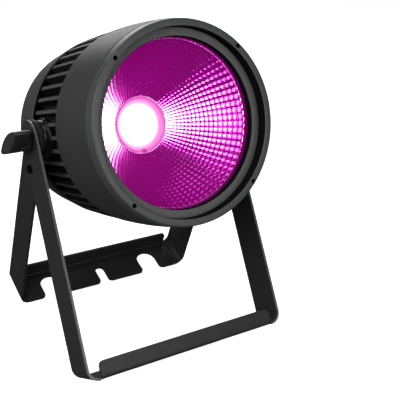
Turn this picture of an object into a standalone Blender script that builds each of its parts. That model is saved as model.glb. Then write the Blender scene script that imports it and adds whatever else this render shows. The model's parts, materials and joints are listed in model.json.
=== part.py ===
"""Par can light with a round finned head in a folding double bracket.

Units are metres, +Z is up. The origin is on the floor, in the middle of the light's bounding box.
X runs along the tilt axis and the light shines towards -Y and a little up.
"""
from math import atan2, cos, pi, radians, sin, sqrt

import bmesh
import bpy
from mathutils import Matrix, Vector

GAP = 0.0003                    # clearance between pieces that touch

# Stand: two flat-bar brackets on one pivot
FRONT_LEAN = radians(29.2)      # front bracket, foot forward of the pivot
REAR_LEAN = radians(20.45)      # rear bracket, foot behind the pivot
FRONT_DROP = 0.2863             # pivot to the underside of the front bracket's foot
BAR_WIDTH = 0.048
BAR_THICK = 0.003
FRONT_HALF = 0.1365             # pivot line to the outer face of an arm
REAR_HALF = 0.1312
BEND_RADIUS = 0.015             # outside of the bar's bends
FLANGE_HALF = 0.120             # stiffening flange folded up from a foot
FRONT_FLANGE = 0.0208           # height of each flange above its foot's underside
REAR_FLANGE = 0.0235
FLANGE_BEND = 0.005
WIDE_NOTCH = (0.078, 0.029, 0.035)     # offset from the middle, width, depth
CENTRE_NOTCH = (0.0, 0.013, 0.028)
NOTCH_LIP = 0.006               # rounding of a notch's mouth
LIMIT_RADIUS = 0.035            # limit screw's distance from the pivot
SHUT_ANGLE = radians(1.2)       # angle left between the brackets when folded

# Head: Z of its own frame points along the beam, Y up, and the pivot is at 0
HEAD_TILT = radians(17.0)       # beam above the horizontal
PIVOT_Y = 0.01447
CROWN_Z = 0.065                 # widest place of the barrel
CROWN_R = 0.1195
FRONT_Z = 0.1375                # bezel's front face
BEZEL_SEAM_Z = 0.1252
FIN_FRONT_Z = 0.045
FIN_REAR_Z = -0.037
FIN_COUNT = 48
FIN_THICK = 0.0066
CORE_R = 0.101                  # floor of the slots between the fins
CORE_WALL = 0.006
COVER_FRONT_Z = -0.041
COVER_BACK_Z = -0.111
COVER_FRONT_R = 0.1167
COVER_REAR_R = 0.1085
PANEL_R = 0.086
PANEL_FACE_Z = -0.1077
SOCKET_Z = PANEL_FACE_Z - GAP      # back of a socket's plate
SOCKET_RIM_Z = SOCKET_Z - 0.006
GLASS_Z = 0.109
RIM_R = 0.0963                  # reflector's wide end
THROAT_R = 0.0355               # reflector's narrow end
THROAT_Z = 0.0264
LEDGE_R = 0.0972                # bezel's clear opening
STEP_R = 0.1068
STEP_Z = 0.1230
SCREW_R = 0.1113                # bezel screws' circle
SEAT_R = 0.1082                 # bore of the housing that takes the bezel's spigot
SEAT_Z = 0.1069                 # ledge that carries the glass and the reflector's brim
BULKHEAD_Z = 0.016              # wall that carries the emitter in front and the fan behind
BULKHEAD_THICK = 0.008
POST_R = 0.0965                 # rear cover's screw posts, on a circle of this radius
FAN_HOLE_R = 0.0583             # fan's corner holes, likewise
FAN_SIZE = 0.092
FAN_DEPTH = 0.025
FAN_Z = -0.0248                 # middle of the fan
PANEL_THICK = 0.0025
BOARD_THICK = 0.0016
DRIVER_Z = -0.0600
CONTROL_Z = -0.0930
DISPLAY_Y = 0.045
TAP_R = 0.0019                  # clearance for the screws' shanks
SHANK_R = 0.0015

# Pivot stack, outwards from the head along X
PAD_X = 0.112
BOSS_X = 0.1246
STUD_R = 0.004
WASHER_X = REAR_HALF - BAR_THICK - GAP
KNOB_RISE = 0.026               # knob's outer face above the front arm
WING_GAP = 0.0065               # wing's inner face above the arm, clear of the limit screw
WING_HALF = 0.0325
WING_WIDTH = 0.019
WING_ANGLE = radians(-37.0)

FULL_TURN = 48                  # sides of a large turned piece

FOLD_ANGLE = FRONT_LEAN + REAR_LEAN
PIVOT_Z = FRONT_DROP * cos(FRONT_LEAN) + BAR_WIDTH / 2 * sin(FRONT_LEAN)
REAR_DROP = (PIVOT_Z - BAR_WIDTH / 2 * sin(REAR_LEAN)) / cos(REAR_LEAN)


# ---------------------------------------------------------------- scene and materials

def clear_scene():
    for thing in list(bpy.data.objects):
        bpy.data.objects.remove(thing, do_unlink=True)


def collection(name):
    group = bpy.data.collections.new(name)
    bpy.context.scene.collection.children.link(group)
    return group


clear_scene()
PARTS = collection("par_can_light")
CUTTERS = collection("cutters")


def material(name, color, roughness, metallic=0.0):
    mat = bpy.data.materials.new(name)
    mat.use_nodes = True
    shader = mat.node_tree.nodes["Principled BSDF"]
    shader.inputs["Base Color"].default_value = (*color, 1.0)
    shader.inputs["Roughness"].default_value = roughness
    shader.inputs["Metallic"].default_value = metallic
    return mat


COAT = material("charcoal_powder_coat", (0.030, 0.030, 0.032), 0.55)
COAT_DARK = material("black_powder_coat", (0.012, 0.012, 0.013), 0.60)
BLACK_PLASTIC = material("black_plastic", (0.010, 0.010, 0.011), 0.40)
RUBBER = material("black_rubber", (0.008, 0.008, 0.008), 0.85)
STEEL = material("zinc_plated_steel", (0.55, 0.55, 0.56), 0.35, 1.0)
BLACK_STEEL = material("blackened_steel", (0.020, 0.020, 0.021), 0.35, 1.0)
GLASS = material("clear_glass", (0.90, 0.92, 0.93), 0.02)
MIRROR = material("faceted_reflector", (0.75, 0.12, 0.65), 0.12, 1.0)
EMITTER = material("led_emitter", (1.0, 0.85, 1.0), 0.30)
CERAMIC = material("white_ceramic", (0.80, 0.80, 0.78), 0.50)
BOARD = material("green_circuit_board", (0.02, 0.12, 0.05), 0.45)
SCREEN = material("display_screen", (0.01, 0.02, 0.05), 0.10)
BLUE_PLASTIC = material("blue_plastic", (0.02, 0.10, 0.35), 0.35)
GREY_PLASTIC = material("grey_plastic", (0.25, 0.26, 0.27), 0.45)


# ---------------------------------------------------------------- shape helpers

def empty(name, location, turn_x=0.0):
    anchor = bpy.data.objects.new(name, None)
    anchor.location = location
    anchor.rotation_euler = (turn_x, 0.0, 0.0)
    PARTS.objects.link(anchor)
    return anchor


def place(thing, parent, location=(0, 0, 0), rotation=(0, 0, 0)):
    thing.parent = parent
    thing.location = location
    thing.rotation_euler = rotation
    return thing


def add_mesh(name, bm, finish, parent, location=(0, 0, 0), rotation=(0, 0, 0)):
    mesh = bpy.data.meshes.new(name)
    bm.to_mesh(mesh)
    bm.free()
    mesh.shade_smooth()
    mesh.set_sharp_from_angle(angle=radians(35))
    thing = bpy.data.objects.new(name, mesh)
    if finish is None:
        CUTTERS.objects.link(thing)
        thing.hide_render = True
        thing.display_type = 'WIRE'
    else:
        PARTS.objects.link(thing)
        mesh.materials.append(finish)
    return place(thing, parent, location, rotation)


def turned(name, profile, finish, parent, sides=FULL_TURN, location=(0, 0, 0), rotation=(0, 0, 0)):
    """Turn a profile of (radius, z) points about Z. A profile that leaves the axis is a closed ring."""
    bm = bmesh.new()
    points = [bm.verts.new((r, 0.0, z)) for r, z in profile]
    for first, second in zip(points, points[1:]):
        bm.edges.new((first, second))
    if profile[0][0] > 0:
        bm.edges.new((points[-1], points[0]))
    thing = add_mesh(name, bm, finish, parent, location, rotation)
    screw = thing.modifiers.new("turn", 'SCREW')
    screw.axis = 'Z'
    screw.steps = sides
    screw.render_steps = sides
    screw.use_merge_vertices = True
    screw.merge_threshold = 0.00001
    return thing


def tube_profile(outer, inner, low, high):
    return [(outer, high), (outer, low), (inner, low), (inner, high)]


def rod_profile(radius, low, high, chamfer=0.0):
    if chamfer:
        return [(0, high), (radius - chamfer, high), (radius, high - chamfer),
                (radius, low + chamfer), (radius - chamfer, low), (0, low)]
    return [(0, high), (radius, high), (radius, low), (0, low)]


def extruded(name, outline, thickness, finish, parent, location=(0, 0, 0), rotation=(0, 0, 0)):
    """A flat outline in its own XY plane, thickened evenly to both sides."""
    curve = bpy.data.curves.new(name, 'CURVE')
    curve.dimensions = '2D'
    curve.fill_mode = 'BOTH'
    curve.extrude = thickness / 2
    spline = curve.splines.new('POLY')
    spline.points.add(len(outline) - 1)
    for point, (x, y) in zip(spline.points, outline):
        point.co = (x, y, 0.0, 1.0)
    spline.use_cyclic_u = True
    flat = bpy.data.objects.new(name + "_outline", curve)
    CUTTERS.objects.link(flat)
    graph = bpy.context.evaluated_depsgraph_get()
    mesh = bpy.data.meshes.new_from_object(flat.evaluated_get(graph))
    bpy.data.objects.remove(flat)
    bm = bmesh.new()
    bm.from_mesh(mesh)
    bpy.data.meshes.remove(mesh)
    bmesh.ops.remove_doubles(bm, verts=bm.verts, dist=0.000005)
    return add_mesh(name, bm, finish, parent, location, rotation)


def block(name, size, finish, parent, location=(0, 0, 0), rotation=(0, 0, 0), bevel=0.0):
    bm = bmesh.new()
    bmesh.ops.create_cube(bm, size=1.0)
    bmesh.ops.scale(bm, vec=size, verts=bm.verts)
    thing = add_mesh(name, bm, finish, parent, location, rotation)
    if bevel:
        round_edges(thing, bevel, 1)
    return thing


def rod(name, radius, length, finish, parent, location=(0, 0, 0), rotation=(0, 0, 0), sides=24):
    bm = bmesh.new()
    bmesh.ops.create_cone(bm, cap_ends=True, segments=sides, radius1=radius, radius2=radius, depth=length)
    return add_mesh(name, bm, finish, parent, location, rotation)


def round_edges(thing, width, segments, angle=40):
    bevel = thing.modifiers.new("round_edges", 'BEVEL')
    bevel.width = width
    bevel.segments = segments
    bevel.limit_method = 'ANGLE'
    bevel.angle_limit = radians(angle)


def combine(target, tool, operation):
    boolean = target.modifiers.new(tool.name, 'BOOLEAN')
    boolean.operation = operation
    boolean.object = tool
    return target


def cut(target, tool):
    return combine(target, tool, 'DIFFERENCE')


def join(target, tool):
    return combine(target, tool, 'UNION')


def keep(target, tool):
    return combine(target, tool, 'INTERSECT')


def arc(cx, cy, radius, start, stop, steps):
    """Points on an arc, angles in degrees."""
    points = []
    for i in range(steps + 1):
        angle = radians(start + (stop - start) * i / steps)
        points.append((cx + radius * cos(angle), cy + radius * sin(angle)))
    return points


def rounded_box(width, height, radius, steps=4):
    x, y = width / 2 - radius, height / 2 - radius
    return (arc(x, y, radius, 0, 90, steps) + arc(-x, y, radius, 90, 180, steps)
            + arc(-x, -y, radius, 180, 270, steps) + arc(x, -y, radius, 270, 360, steps))


def corners(radius):
    """Four places on a circle, 45 degrees off the axes."""
    angles = [pi / 4 + number * pi / 2 for number in range(4)]
    return [(radius * cos(angle), radius * sin(angle)) for angle in angles]


ALONG_X = (0.0, pi / 2, 0.0)       # turns a piece's own Z onto X
STANDING = (pi / 2, 0.0, 0.0)      # stands a flat outline up, its own Y onto Z
SIDES = ((-1, "left"), (1, "right"))


# ---------------------------------------------------------------- brackets

def u_outline(half, drop):
    """The bent bar seen along the bracket's depth."""
    top = BAR_WIDTH
    inner = BEND_RADIUS - BAR_THICK
    left, right = -half + BEND_RADIUS, half - BEND_RADIUS
    low = -drop + BEND_RADIUS
    outside = ([(-half, top)] + arc(left, low, BEND_RADIUS, 180, 270, 6)
               + arc(right, low, BEND_RADIUS, 270, 360, 6) + [(half, top)])
    inside = ([(half - BAR_THICK, top)] + arc(right, low, inner, 360, 270, 6)
              + arc(left, low, inner, 270, 180, 6) + [(-half + BAR_THICK, top)])
    return outside + inside


def side_outline(drop):
    """The bar seen along X: parallel edges and a round end about the pivot, drawn in (z, y)."""
    half = BAR_WIDTH / 2
    return arc(0, 0, half, -90, 90, 12) + [(-drop - 0.01, half), (-drop - 0.01, -half)]


def flange_section(drop, height, side):
    """Foot edge, bend and flange in (y, z); side is -1 for a front flange and 1 for a rear one."""
    edge = BAR_WIDTH / 2
    inner = FLANGE_BEND - BAR_THICK
    y, z = edge - FLANGE_BEND, -drop + FLANGE_BEND
    points = ([(edge - 0.014, -drop)] + arc(y, z, FLANGE_BEND, 270, 360, 4)
              + [(edge, -drop + height), (edge - BAR_THICK, -drop + height)]
              + arc(y, z, inner, 360, 270, 4) + [(edge - 0.014, -drop + BAR_THICK)])
    return [(side * py, pz) for py, pz in points]


def notch_outline(notch, side):
    """A slot with a round end, open at the foot edge on the given side."""
    offset, width, depth = notch
    half = width / 2
    mouth = BAR_WIDTH / 2
    end = mouth - depth + half
    flare = half + NOTCH_LIP
    right = arc(flare, mouth - NOTCH_LIP, NOTCH_LIP, 90, 180, 3)
    left = arc(-flare, mouth - NOTCH_LIP, NOTCH_LIP, 0, 90, 3)
    points = [(flare, mouth + 0.01)] + right + arc(0, end, half, 0, -180, 8) + left + [(-flare, mouth + 0.01)]
    return [(offset + x, side * y) for x, y in points]


def bracket(name, half, drop, flange, flange_side, finish, anchor):
    bar = extruded(name, u_outline(half, drop), 0.060, finish, anchor, rotation=STANDING)
    keep(bar, extruded(name + "_side", side_outline(drop), 2 * half + 0.02, None, anchor,
                       rotation=(0.0, -pi / 2, 0.0)))
    edge = flange_side * (BAR_WIDTH / 2)
    clear = block(name + "_flange_room", (2 * FLANGE_HALF + 0.002, 0.026, 0.012), None, anchor,
                  location=(0, edge, -drop))
    cut(bar, clear)
    strip = extruded(name + "_flange", flange_section(drop, flange, flange_side), 2 * FLANGE_HALF, None,
                     anchor, rotation=(pi / 2, 0.0, pi / 2))
    corner = rounded_box(2 * FLANGE_HALF, flange * 2, 0.006)
    keep(strip, extruded(name + "_flange_ends", corner, 0.08, None, anchor,
                         location=(0, edge, -drop), rotation=STANDING))
    join(bar, strip)
    for number, notch in enumerate(((-WIDE_NOTCH[0],) + WIDE_NOTCH[1:], CENTRE_NOTCH, WIDE_NOTCH)):
        tool = extruded(f"{name}_notch_{number}", notch_outline(notch, -flange_side), 0.02, None, anchor,
                        location=(0, 0, -drop))
        cut(bar, tool)
    cut(bar, rod(name + "_pivot_hole", STUD_R + 0.0006, 0.4, None, anchor, rotation=ALONG_X))
    return bar


def limit_point(angle):
    """(y, z) at the limit screw's radius, the angle measured from straight down towards the rear."""
    return LIMIT_RADIUS * sin(angle), -LIMIT_RADIUS * cos(angle)


def arc_slot_outline(reach, half):
    """A slot that curves about the pivot from -reach to reach, drawn in (z, y) for an X cutter."""
    def point(radius, angle):
        return radius * cos(angle), radius * sin(angle)
    steps = 8
    outer = [point(LIMIT_RADIUS + half, -reach + 2 * reach * i / steps) for i in range(steps + 1)]
    inner = [point(LIMIT_RADIUS - half, reach - 2 * reach * i / steps) for i in range(steps + 1)]
    far = LIMIT_RADIUS * cos(reach), LIMIT_RADIUS * sin(reach)
    turn = reach * 180 / pi
    round_far = arc(far[0], far[1], half, turn, turn + 180, 4)[1:-1]
    round_near = arc(far[0], -far[1], half, 180 - turn, 360 - turn, 4)[1:-1]
    return outer + round_far + inner + round_near


def stand(front_anchor, rear_anchor):
    front = bracket("front_bracket", FRONT_HALF, FRONT_DROP, FRONT_FLANGE, -1, COAT, front_anchor)
    rear = bracket("rear_bracket", REAR_HALF, REAR_DROP, REAR_FLANGE, 1, COAT_DARK, rear_anchor)
    y, z = limit_point(FOLD_ANGLE / 2)
    cut(front, rod("limit_screw_holes", 0.0028, 0.4, None, front_anchor, location=(0, y, z),
                   rotation=ALONG_X))
    slot = arc_slot_outline(FOLD_ANGLE / 2 - SHUT_ANGLE / 2, 0.0032)
    cut(rear, extruded("limit_slots", slot, 0.4, None, rear_anchor, rotation=ALONG_X))
    for side, label in SIDES:
        profile = [(0, 0.0030), (0.0034, 0.0030), (0.0050, 0.0018), (0.0050, 0.0), (0.0025, 0.0),
                   (0.0025, -0.0090), (0, -0.0090)]
        screw = turned(f"limit_screw_{label}", profile, BLACK_STEEL, front_anchor, 12,
                       location=(side * (FRONT_HALF + GAP), y, z), rotation=(0, side * pi / 2, 0))
        socket = rod(f"limit_socket_{label}", 0.0017, 0.004, None, screw, location=(0, 0, 0.0032), sides=6)
        cut(screw, socket)


# ---------------------------------------------------------------- head casting and covers

def shell_radius(z):
    """Outer radius of the barrel: a shallow crown, fuller towards the rear."""
    bulge = 0.72 if z > CROWN_Z else 0.21
    return CROWN_R - bulge * (z - CROWN_Z) ** 2


def barrel_side(high, low, steps):
    return [(shell_radius(high + (low - high) * i / steps), high + (low - high) * i / steps)
            for i in range(steps + 1)]


def fin_rows():
    """All fins in one mesh: bars with a chamfered crest and a round nose at the rear."""
    crest = [(z, r) for r, z in barrel_side(FIN_FRONT_Z + 0.003, FIN_REAR_Z + 0.009, 1)]
    nose_r = shell_radius(FIN_REAR_Z)
    nose = arc(FIN_REAR_Z + 0.009, nose_r - 0.009, 0.009, 90, 180, 2)[1:]
    root = CORE_R - 0.003
    outline = [(FIN_FRONT_Z + 0.003, root)] + crest + nose + [(FIN_REAR_Z, root)]
    fins = bmesh.new()
    for number in range(FIN_COUNT):
        turn = Matrix.Rotation(2 * pi * number / FIN_COUNT, 4, 'Z')
        sides = []
        for x in (-FIN_THICK / 2, FIN_THICK / 2):
            sides.append([fins.verts.new(turn @ Vector((x, r, z))) for z, r in outline])
        fins.faces.new(sides[0])
        fins.faces.new(reversed(sides[1]))
        edges = []
        count = len(outline)
        for i in range(count):
            j = (i + 1) % count
            fins.faces.new((sides[0][j], sides[0][i], sides[1][i], sides[1][j]))
            if 0 < i < count - 2:
                edges += [fins.edges.get((side[i], side[j])) for side in sides]
        bmesh.ops.bevel(fins, geom=edges, offset=0.0018, segments=1, affect='EDGES', clamp_overlap=True)
    bmesh.ops.recalc_face_normals(fins, faces=fins.faces)
    return fins


def housing(head):
    bore = CORE_R - CORE_WALL
    floor = BULKHEAD_Z - BULKHEAD_THICK
    front_bore = 0.1145
    under_ledge = SEAT_Z - 0.004
    profile = ([(0, BULKHEAD_Z), (bore, BULKHEAD_Z), (bore, 0.050), (front_bore, 0.050),
                (front_bore, under_ledge), (0.098, under_ledge), (0.098, SEAT_Z), (SEAT_R, SEAT_Z),
                (SEAT_R, BEZEL_SEAM_Z), (shell_radius(BEZEL_SEAM_Z) - 0.001, BEZEL_SEAM_Z)]
               + barrel_side(BEZEL_SEAM_Z - 0.001, FIN_FRONT_Z, 3)
               + [(CORE_R, FIN_FRONT_Z), (CORE_R, -0.057), (bore, -0.057), (bore, floor), (0, floor)])
    body = turned("finned_housing", profile, COAT, head)
    join(body, add_mesh("fins", fin_rows(), None, head))
    for side, label in SIDES:
        turn = (0, side * pi / 2, 0)
        cut(body, rod(f"boss_room_{label}", 0.033, 0.023, None, head, location=(side * 0.1135, 0, 0),
                      rotation=turn, sides=32))
        pad_base = 0.097
        join(body, rod(f"boss_pad_{label}", 0.029, PAD_X - pad_base, None, head,
                       location=(side * (PAD_X + pad_base) / 2, 0, 0), rotation=turn, sides=32))
    for number, spot in enumerate(corners(SCREW_R)):
        cut(body, rod(f"bezel_tap_{number}", TAP_R, 0.020, None, head, location=(*spot, BEZEL_SEAM_Z),
                      sides=8))
    for number, spot in enumerate(corners(POST_R)):
        join(body, rod(f"cover_post_{number}", 0.004, 0.0577, None, head, location=(*spot, -0.07885),
                       sides=10))
        cut(body, rod(f"cover_tap_{number}", TAP_R, 0.024, None, head, location=(*spot, PANEL_FACE_Z),
                      sides=8))
    for number, spot in enumerate(corners(FAN_HOLE_R)):
        join(body, rod(f"fan_standoff_{number}", 0.004, 0.024, None, head, location=(*spot, 0.0002),
                       sides=8))
    cut(body, rod("wire_hole", 0.006, 0.03, None, head, location=(0, 0.060, 0.014), sides=16))


def socket_screw(head_r, length):
    """Profile of a cap screw whose head sits on z = 0."""
    head_height = 0.0022
    return [(0, head_height), (head_r - 0.0003, head_height), (head_r, head_height - 0.0003),
            (head_r, 0), (SHANK_R, 0), (SHANK_R, -length), (0, -length)]


def cap_screw(name, head_r, length, spot, rotation, head):
    screw = turned(name, socket_screw(head_r, length), BLACK_STEEL, head, 8, location=spot, rotation=rotation)
    cut(screw, rod(name + "_socket", head_r / 2, 0.002, None, screw, location=(0, 0, 0.0022), sides=6))


def bezel(head):
    spigot_r = SEAT_R - GAP
    spigot_z = 0.1136
    profile = [(STEP_R + 0.001, FRONT_Z), (0.1139, FRONT_Z), (0.1152, FRONT_Z - 0.0006),
               (0.1158, FRONT_Z - 0.0018), (0.1166, BEZEL_SEAM_Z + 0.0015),
               (0.1160, BEZEL_SEAM_Z + GAP), (spigot_r, BEZEL_SEAM_Z + GAP), (spigot_r, spigot_z),
               (LEDGE_R, spigot_z), (LEDGE_R, STEP_Z - 0.001), (LEDGE_R + 0.001, STEP_Z),
               (STEP_R, STEP_Z), (STEP_R, FRONT_Z - 0.001)]
    ring = turned("front_bezel", profile, COAT, head)
    for number, (x, y) in enumerate(corners(SCREW_R), 1):
        cut(ring, rod(f"screw_well_{number}", 0.0028, 0.008, None, head, location=(x, y, FRONT_Z), sides=10))
        cut(ring, rod(f"screw_way_{number}", TAP_R, 0.030, None, head, location=(x, y, FRONT_Z - 0.01),
                      sides=8))
        cap_screw(f"bezel_screw_{number}", 0.0024, 0.016, (x, y, FRONT_Z - 0.0037), (0, 0, 0), head)


def rear_shell(head):
    wall = 0.0025
    corner = 0.008
    lip = 0.003
    mouth_r = 0.080
    bend = arc(COVER_REAR_R - corner, COVER_BACK_Z + corner, corner, 0, -90, 4)
    profile = ([(COVER_FRONT_R - 0.001, COVER_FRONT_Z), (COVER_FRONT_R, COVER_FRONT_Z - 0.001)] + bend
               + [(mouth_r, COVER_BACK_Z), (mouth_r, COVER_BACK_Z + lip), (0.1015, COVER_BACK_Z + lip),
                  (COVER_REAR_R - wall - 0.001, COVER_BACK_Z + corner),
                  (COVER_FRONT_R - wall, COVER_FRONT_Z)])
    cover = turned("rear_cover", profile, COAT, head)
    for number, (x, y) in enumerate(corners(POST_R), 1):
        cut(cover, rod(f"cover_hole_{number}", TAP_R, 0.02, None, head, location=(x, y, COVER_BACK_Z),
                       rotation=(0, 0, 0.2), sides=8))
        cap_screw(f"cover_screw_{number}", 0.0033, 0.012, (x, y, COVER_BACK_Z - GAP), (pi, 0, 0), head)


# ---------------------------------------------------------------- optics

def dish(steps):
    """Mirror side of the reflector: a paraboloid from the throat to the rim, as (radius, z)."""
    top = GLASS_Z - GAP
    points = []
    for i in range(steps + 1):
        rise = i / steps
        radius = sqrt(THROAT_R ** 2 + rise * (RIM_R ** 2 - THROAT_R ** 2))
        points.append((radius, THROAT_Z + rise * (top - THROAT_Z)))
    return points


def optics(head):
    thick = 0.003
    edge = 0.0005
    pane = [(0, GLASS_Z + thick), (0.1015, GLASS_Z + thick), (0.1020, GLASS_Z + thick - edge),
            (0.1020, GLASS_Z + edge), (0.1015, GLASS_Z), (0, GLASS_Z)]
    turned("front_glass", pane, GLASS, head, 40)
    turned("glass_gasket", tube_profile(0.1035, 0.0985, 0.1123, 0.1133), RUBBER, head, 32)
    wall = 0.0015
    brim = SEAT_Z + GAP
    mirror = dish(4)
    outside = [(THROAT_R + wall, THROAT_Z)] + [(r + wall, z - 0.0004) for r, z in mirror[1:-1]]
    profile = ([(0.1030, mirror[-1][1]), (0.1030, brim), (RIM_R + wall, brim)] + outside[::-1] + mirror)
    turned("reflector", profile, MIRROR, head, 40)
    board_z = BULKHEAD_Z + GAP
    board_top = board_z + 0.0029
    seat = board_top + GAP
    holder = [(0.036, THROAT_Z - GAP), (0.039, THROAT_Z - 0.0014), (0.039, seat + 0.0003),
              (0.031, seat + 0.0003), (0.031, THROAT_Z - 0.0019), (0.0335, THROAT_Z - GAP)]
    turned("cob_holder", holder, CERAMIC, head, 32)
    emitter = [(0, seat + 0.0025), (0.024, seat + 0.0025), (0.0265, seat + 0.0010), (0.0265, seat), (0, seat)]
    turned("cob_emitter", emitter, EMITTER, head, 32)
    block("cob_board", (0.066, 0.066, board_top - board_z), CERAMIC, head,
          location=(0, 0, (board_top + board_z) / 2), bevel=0.0004)


# ---------------------------------------------------------------- inside the rear bay

def fan(head):
    frame = extruded("fan_frame", rounded_box(FAN_SIZE, FAN_SIZE, 0.006, 2), FAN_DEPTH, BLACK_PLASTIC, head,
                     location=(0, 0, FAN_Z))
    cut(frame, rod("fan_duct", 0.0435, 0.0225, None, head, location=(0, 0, -0.02225), sides=24))
    for name, radius in (("wide", 0.0400), ("narrow", 0.0300)):
        ring = tube_profile(radius, radius - 0.008, -0.040, -0.030)
        grille = turned(f"fan_window_{name}", ring, None, head, 20)
        middle = (0, 0, -0.0355)
        cut(grille, block(f"fan_spoke_{name}", (0.1, 0.005, 0.03), None, head, location=middle))
        cut(grille, block(f"fan_cross_{name}", (0.005, 0.1, 0.03), None, head, location=middle))
        cut(frame, grille)
    for number, spot in enumerate(corners(FAN_HOLE_R)):
        cut(frame, rod(f"fan_hole_{number}", 0.0020, 0.04, None, head, location=(*spot, FAN_Z), sides=8))
    hub = turned("fan_rotor", rod_profile(0.017, -0.0328, -0.0145, 0.001), BLACK_PLASTIC, head, 24)
    blades = 7
    blade_r = 0.0290
    for number in range(blades):
        turn = 2 * pi * number / blades
        pitch = Matrix.Rotation(turn, 3, 'Z') @ Matrix.Rotation(radians(38), 3, 'X')
        join(hub, block(f"fan_blade_{number}", (0.027, 0.0016, 0.0170), None, head,
                        location=(blade_r * cos(turn), blade_r * sin(turn), -0.0235),
                        rotation=pitch.to_euler()))


def boards(head):
    driver = block("driver_board", (0.110, 0.080, BOARD_THICK), BOARD, head, location=(0, 0, DRIVER_Z))
    parts = (("coil", (0.030, 0.028, 0.018), (-0.030, 0.012)),
             ("heat_bar", (0.012, 0.050, 0.014), (0.040, 0.0)),
             ("relay", (0.018, 0.014, 0.012), (-0.034, -0.022)))
    for name, size, (x, y) in parts:
        join(driver, block(f"driver_{name}", size, None, head,
                           location=(x, y, DRIVER_Z + 0.0005 + size[2] / 2)))
    for number, x in enumerate((-0.002, 0.016)):
        join(driver, rod(f"driver_can_{number}", 0.008, 0.019, None, head,
                         location=(x, 0.016, DRIVER_Z + 0.010), sides=16))
    control = block("control_board", (0.072, 0.066, BOARD_THICK), BOARD, head, location=(0, 0.031, CONTROL_Z))
    join(control, block("control_chip", (0.014, 0.014, 0.003), None, head,
                        location=(0.012, 0.030, CONTROL_Z + 0.0015)))
    block("display_module", (0.058, 0.026, 0.0080), GREY_PLASTIC, head,
          location=(0, DISPLAY_Y, CONTROL_Z - 0.0051), bevel=0.0005)


# ---------------------------------------------------------------- rear panel and its fittings

BUTTON_X = (-0.027, -0.009, 0.009, 0.027)
BUTTON_Y = 0.018
FUSE_Y = -0.018
IR_Y = 0.068
DMX_SPOTS = ((-0.052, -0.008), (0.052, -0.008))
POWER_SPOTS = ((-0.026, -0.045), (0.026, -0.045))


def panel_studs(panel, name, radius, places, board_z, head):
    """Studs from inside the panel to just short of a board."""
    root = PANEL_FACE_Z + 0.0010
    tip = board_z - BOARD_THICK / 2 - GAP
    for number, (x, y) in enumerate(places):
        join(panel, rod(f"{name}_{number}", radius, tip - root, None, head,
                        location=(x, y, (root + tip) / 2), sides=8))


def rear_panel(head):
    back = PANEL_FACE_Z
    panel = turned("rear_panel", rod_profile(PANEL_R, back, back + PANEL_THICK, 0.0004), COAT_DARK, head, 40)
    panel_studs(panel, "panel_stud", 0.003, [(x, y) for x in (-0.048, 0.048) for y in (-0.033, 0.033)],
                DRIVER_Z, head)
    panel_studs(panel, "board_stud", 0.002, [(x, y) for x in (-0.032, 0.032) for y in (0.002, 0.060)],
                CONTROL_Z, head)
    cut(panel, block("display_opening", (0.0526, 0.0206, 0.01), None, head, location=(0, DISPLAY_Y, back)))
    for number, x in enumerate(BUTTON_X):
        cut(panel, rod(f"button_hole_{number}", 0.0049, 0.02, None, head, location=(x, BUTTON_Y, back),
                       sides=12))
    for number, (x, y) in enumerate(DMX_SPOTS + POWER_SPOTS):
        cut(panel, rod(f"socket_hole_{number}", 0.0120, 0.02, None, head, location=(x, y, back), sides=16))
    cut(panel, rod("fuse_hole", 0.0063, 0.02, None, head, location=(0, FUSE_Y, back), sides=20))
    cut(panel, rod("ir_hole", 0.0033, 0.02, None, head, location=(0, IR_Y, back), sides=16))
    extruded("display_window", rounded_box(0.052, 0.020, 0.001, 2), 0.0030, SCREEN, head,
             location=(0, DISPLAY_Y, back + 0.0010))
    turned("ir_window", [(0, 0.0018), (0.0018, 0.0014), (0.0029, 0), (0.0029, -0.004), (0, -0.004)],
           SCREEN, head, 12, location=(0, IR_Y, back), rotation=(pi, 0, 0))
    cap_height = 0.0085
    neck_r = 0.0058
    cap = turned("fuse_cap", [(0, cap_height), (0.0060, cap_height), (0.0068, cap_height - 0.001),
                              (0.0075, GAP), (neck_r, GAP), (neck_r, -0.022), (0, -0.022)],
                 BLACK_PLASTIC, head, 16, location=(0, FUSE_Y, back), rotation=(pi, 0, 0))
    cut(cap, block("fuse_slot", (0.0090, 0.0014, 0.003), None, head, location=(0, FUSE_Y, back - cap_height)))


def buttons(head):
    profile = [(0, 0.0030), (0.0036, 0.0030), (0.0044, 0.0022), (0.0044, -0.0029), (0.0062, -0.0029),
               (0.0062, -0.0042), (0.0020, -0.0042), (0.0020, -0.0118), (0, -0.0118)]
    for number, x in enumerate(BUTTON_X):
        turned(f"menu_button_{number + 1}", profile, GREY_PLASTIC, head, 12,
               location=(x, BUTTON_Y, PANEL_FACE_Z), rotation=(pi, 0, 0))


def panel_socket(name, spot, finish, bore, floor, head):
    """A round panel connector: square plate, body behind it and a socket open to the rear."""
    x, y = spot
    plate = extruded(name, rounded_box(0.026, 0.031, 0.003, 2), 0.0016, finish, head,
                     location=(x, y, SOCKET_Z - 0.0008))
    body = rod(name + "_body", 0.0116, 0.030, None, head, location=(x, y, SOCKET_RIM_Z + 0.015), sides=16)
    join(plate, body)
    mouth = SOCKET_RIM_Z - 0.002
    cut(plate, rod(name + "_bore", bore, floor - mouth, None, head, location=(x, y, (mouth + floor) / 2),
                   sides=16))
    return plate


def contacts(spot):
    """The three contact places of a DMX socket."""
    angles = [radians(210 + 60 * number) for number in range(3)]
    return [(spot[0] + 0.0045 * cos(angle), spot[1] + 0.0045 * sin(angle)) for angle in angles]


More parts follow.
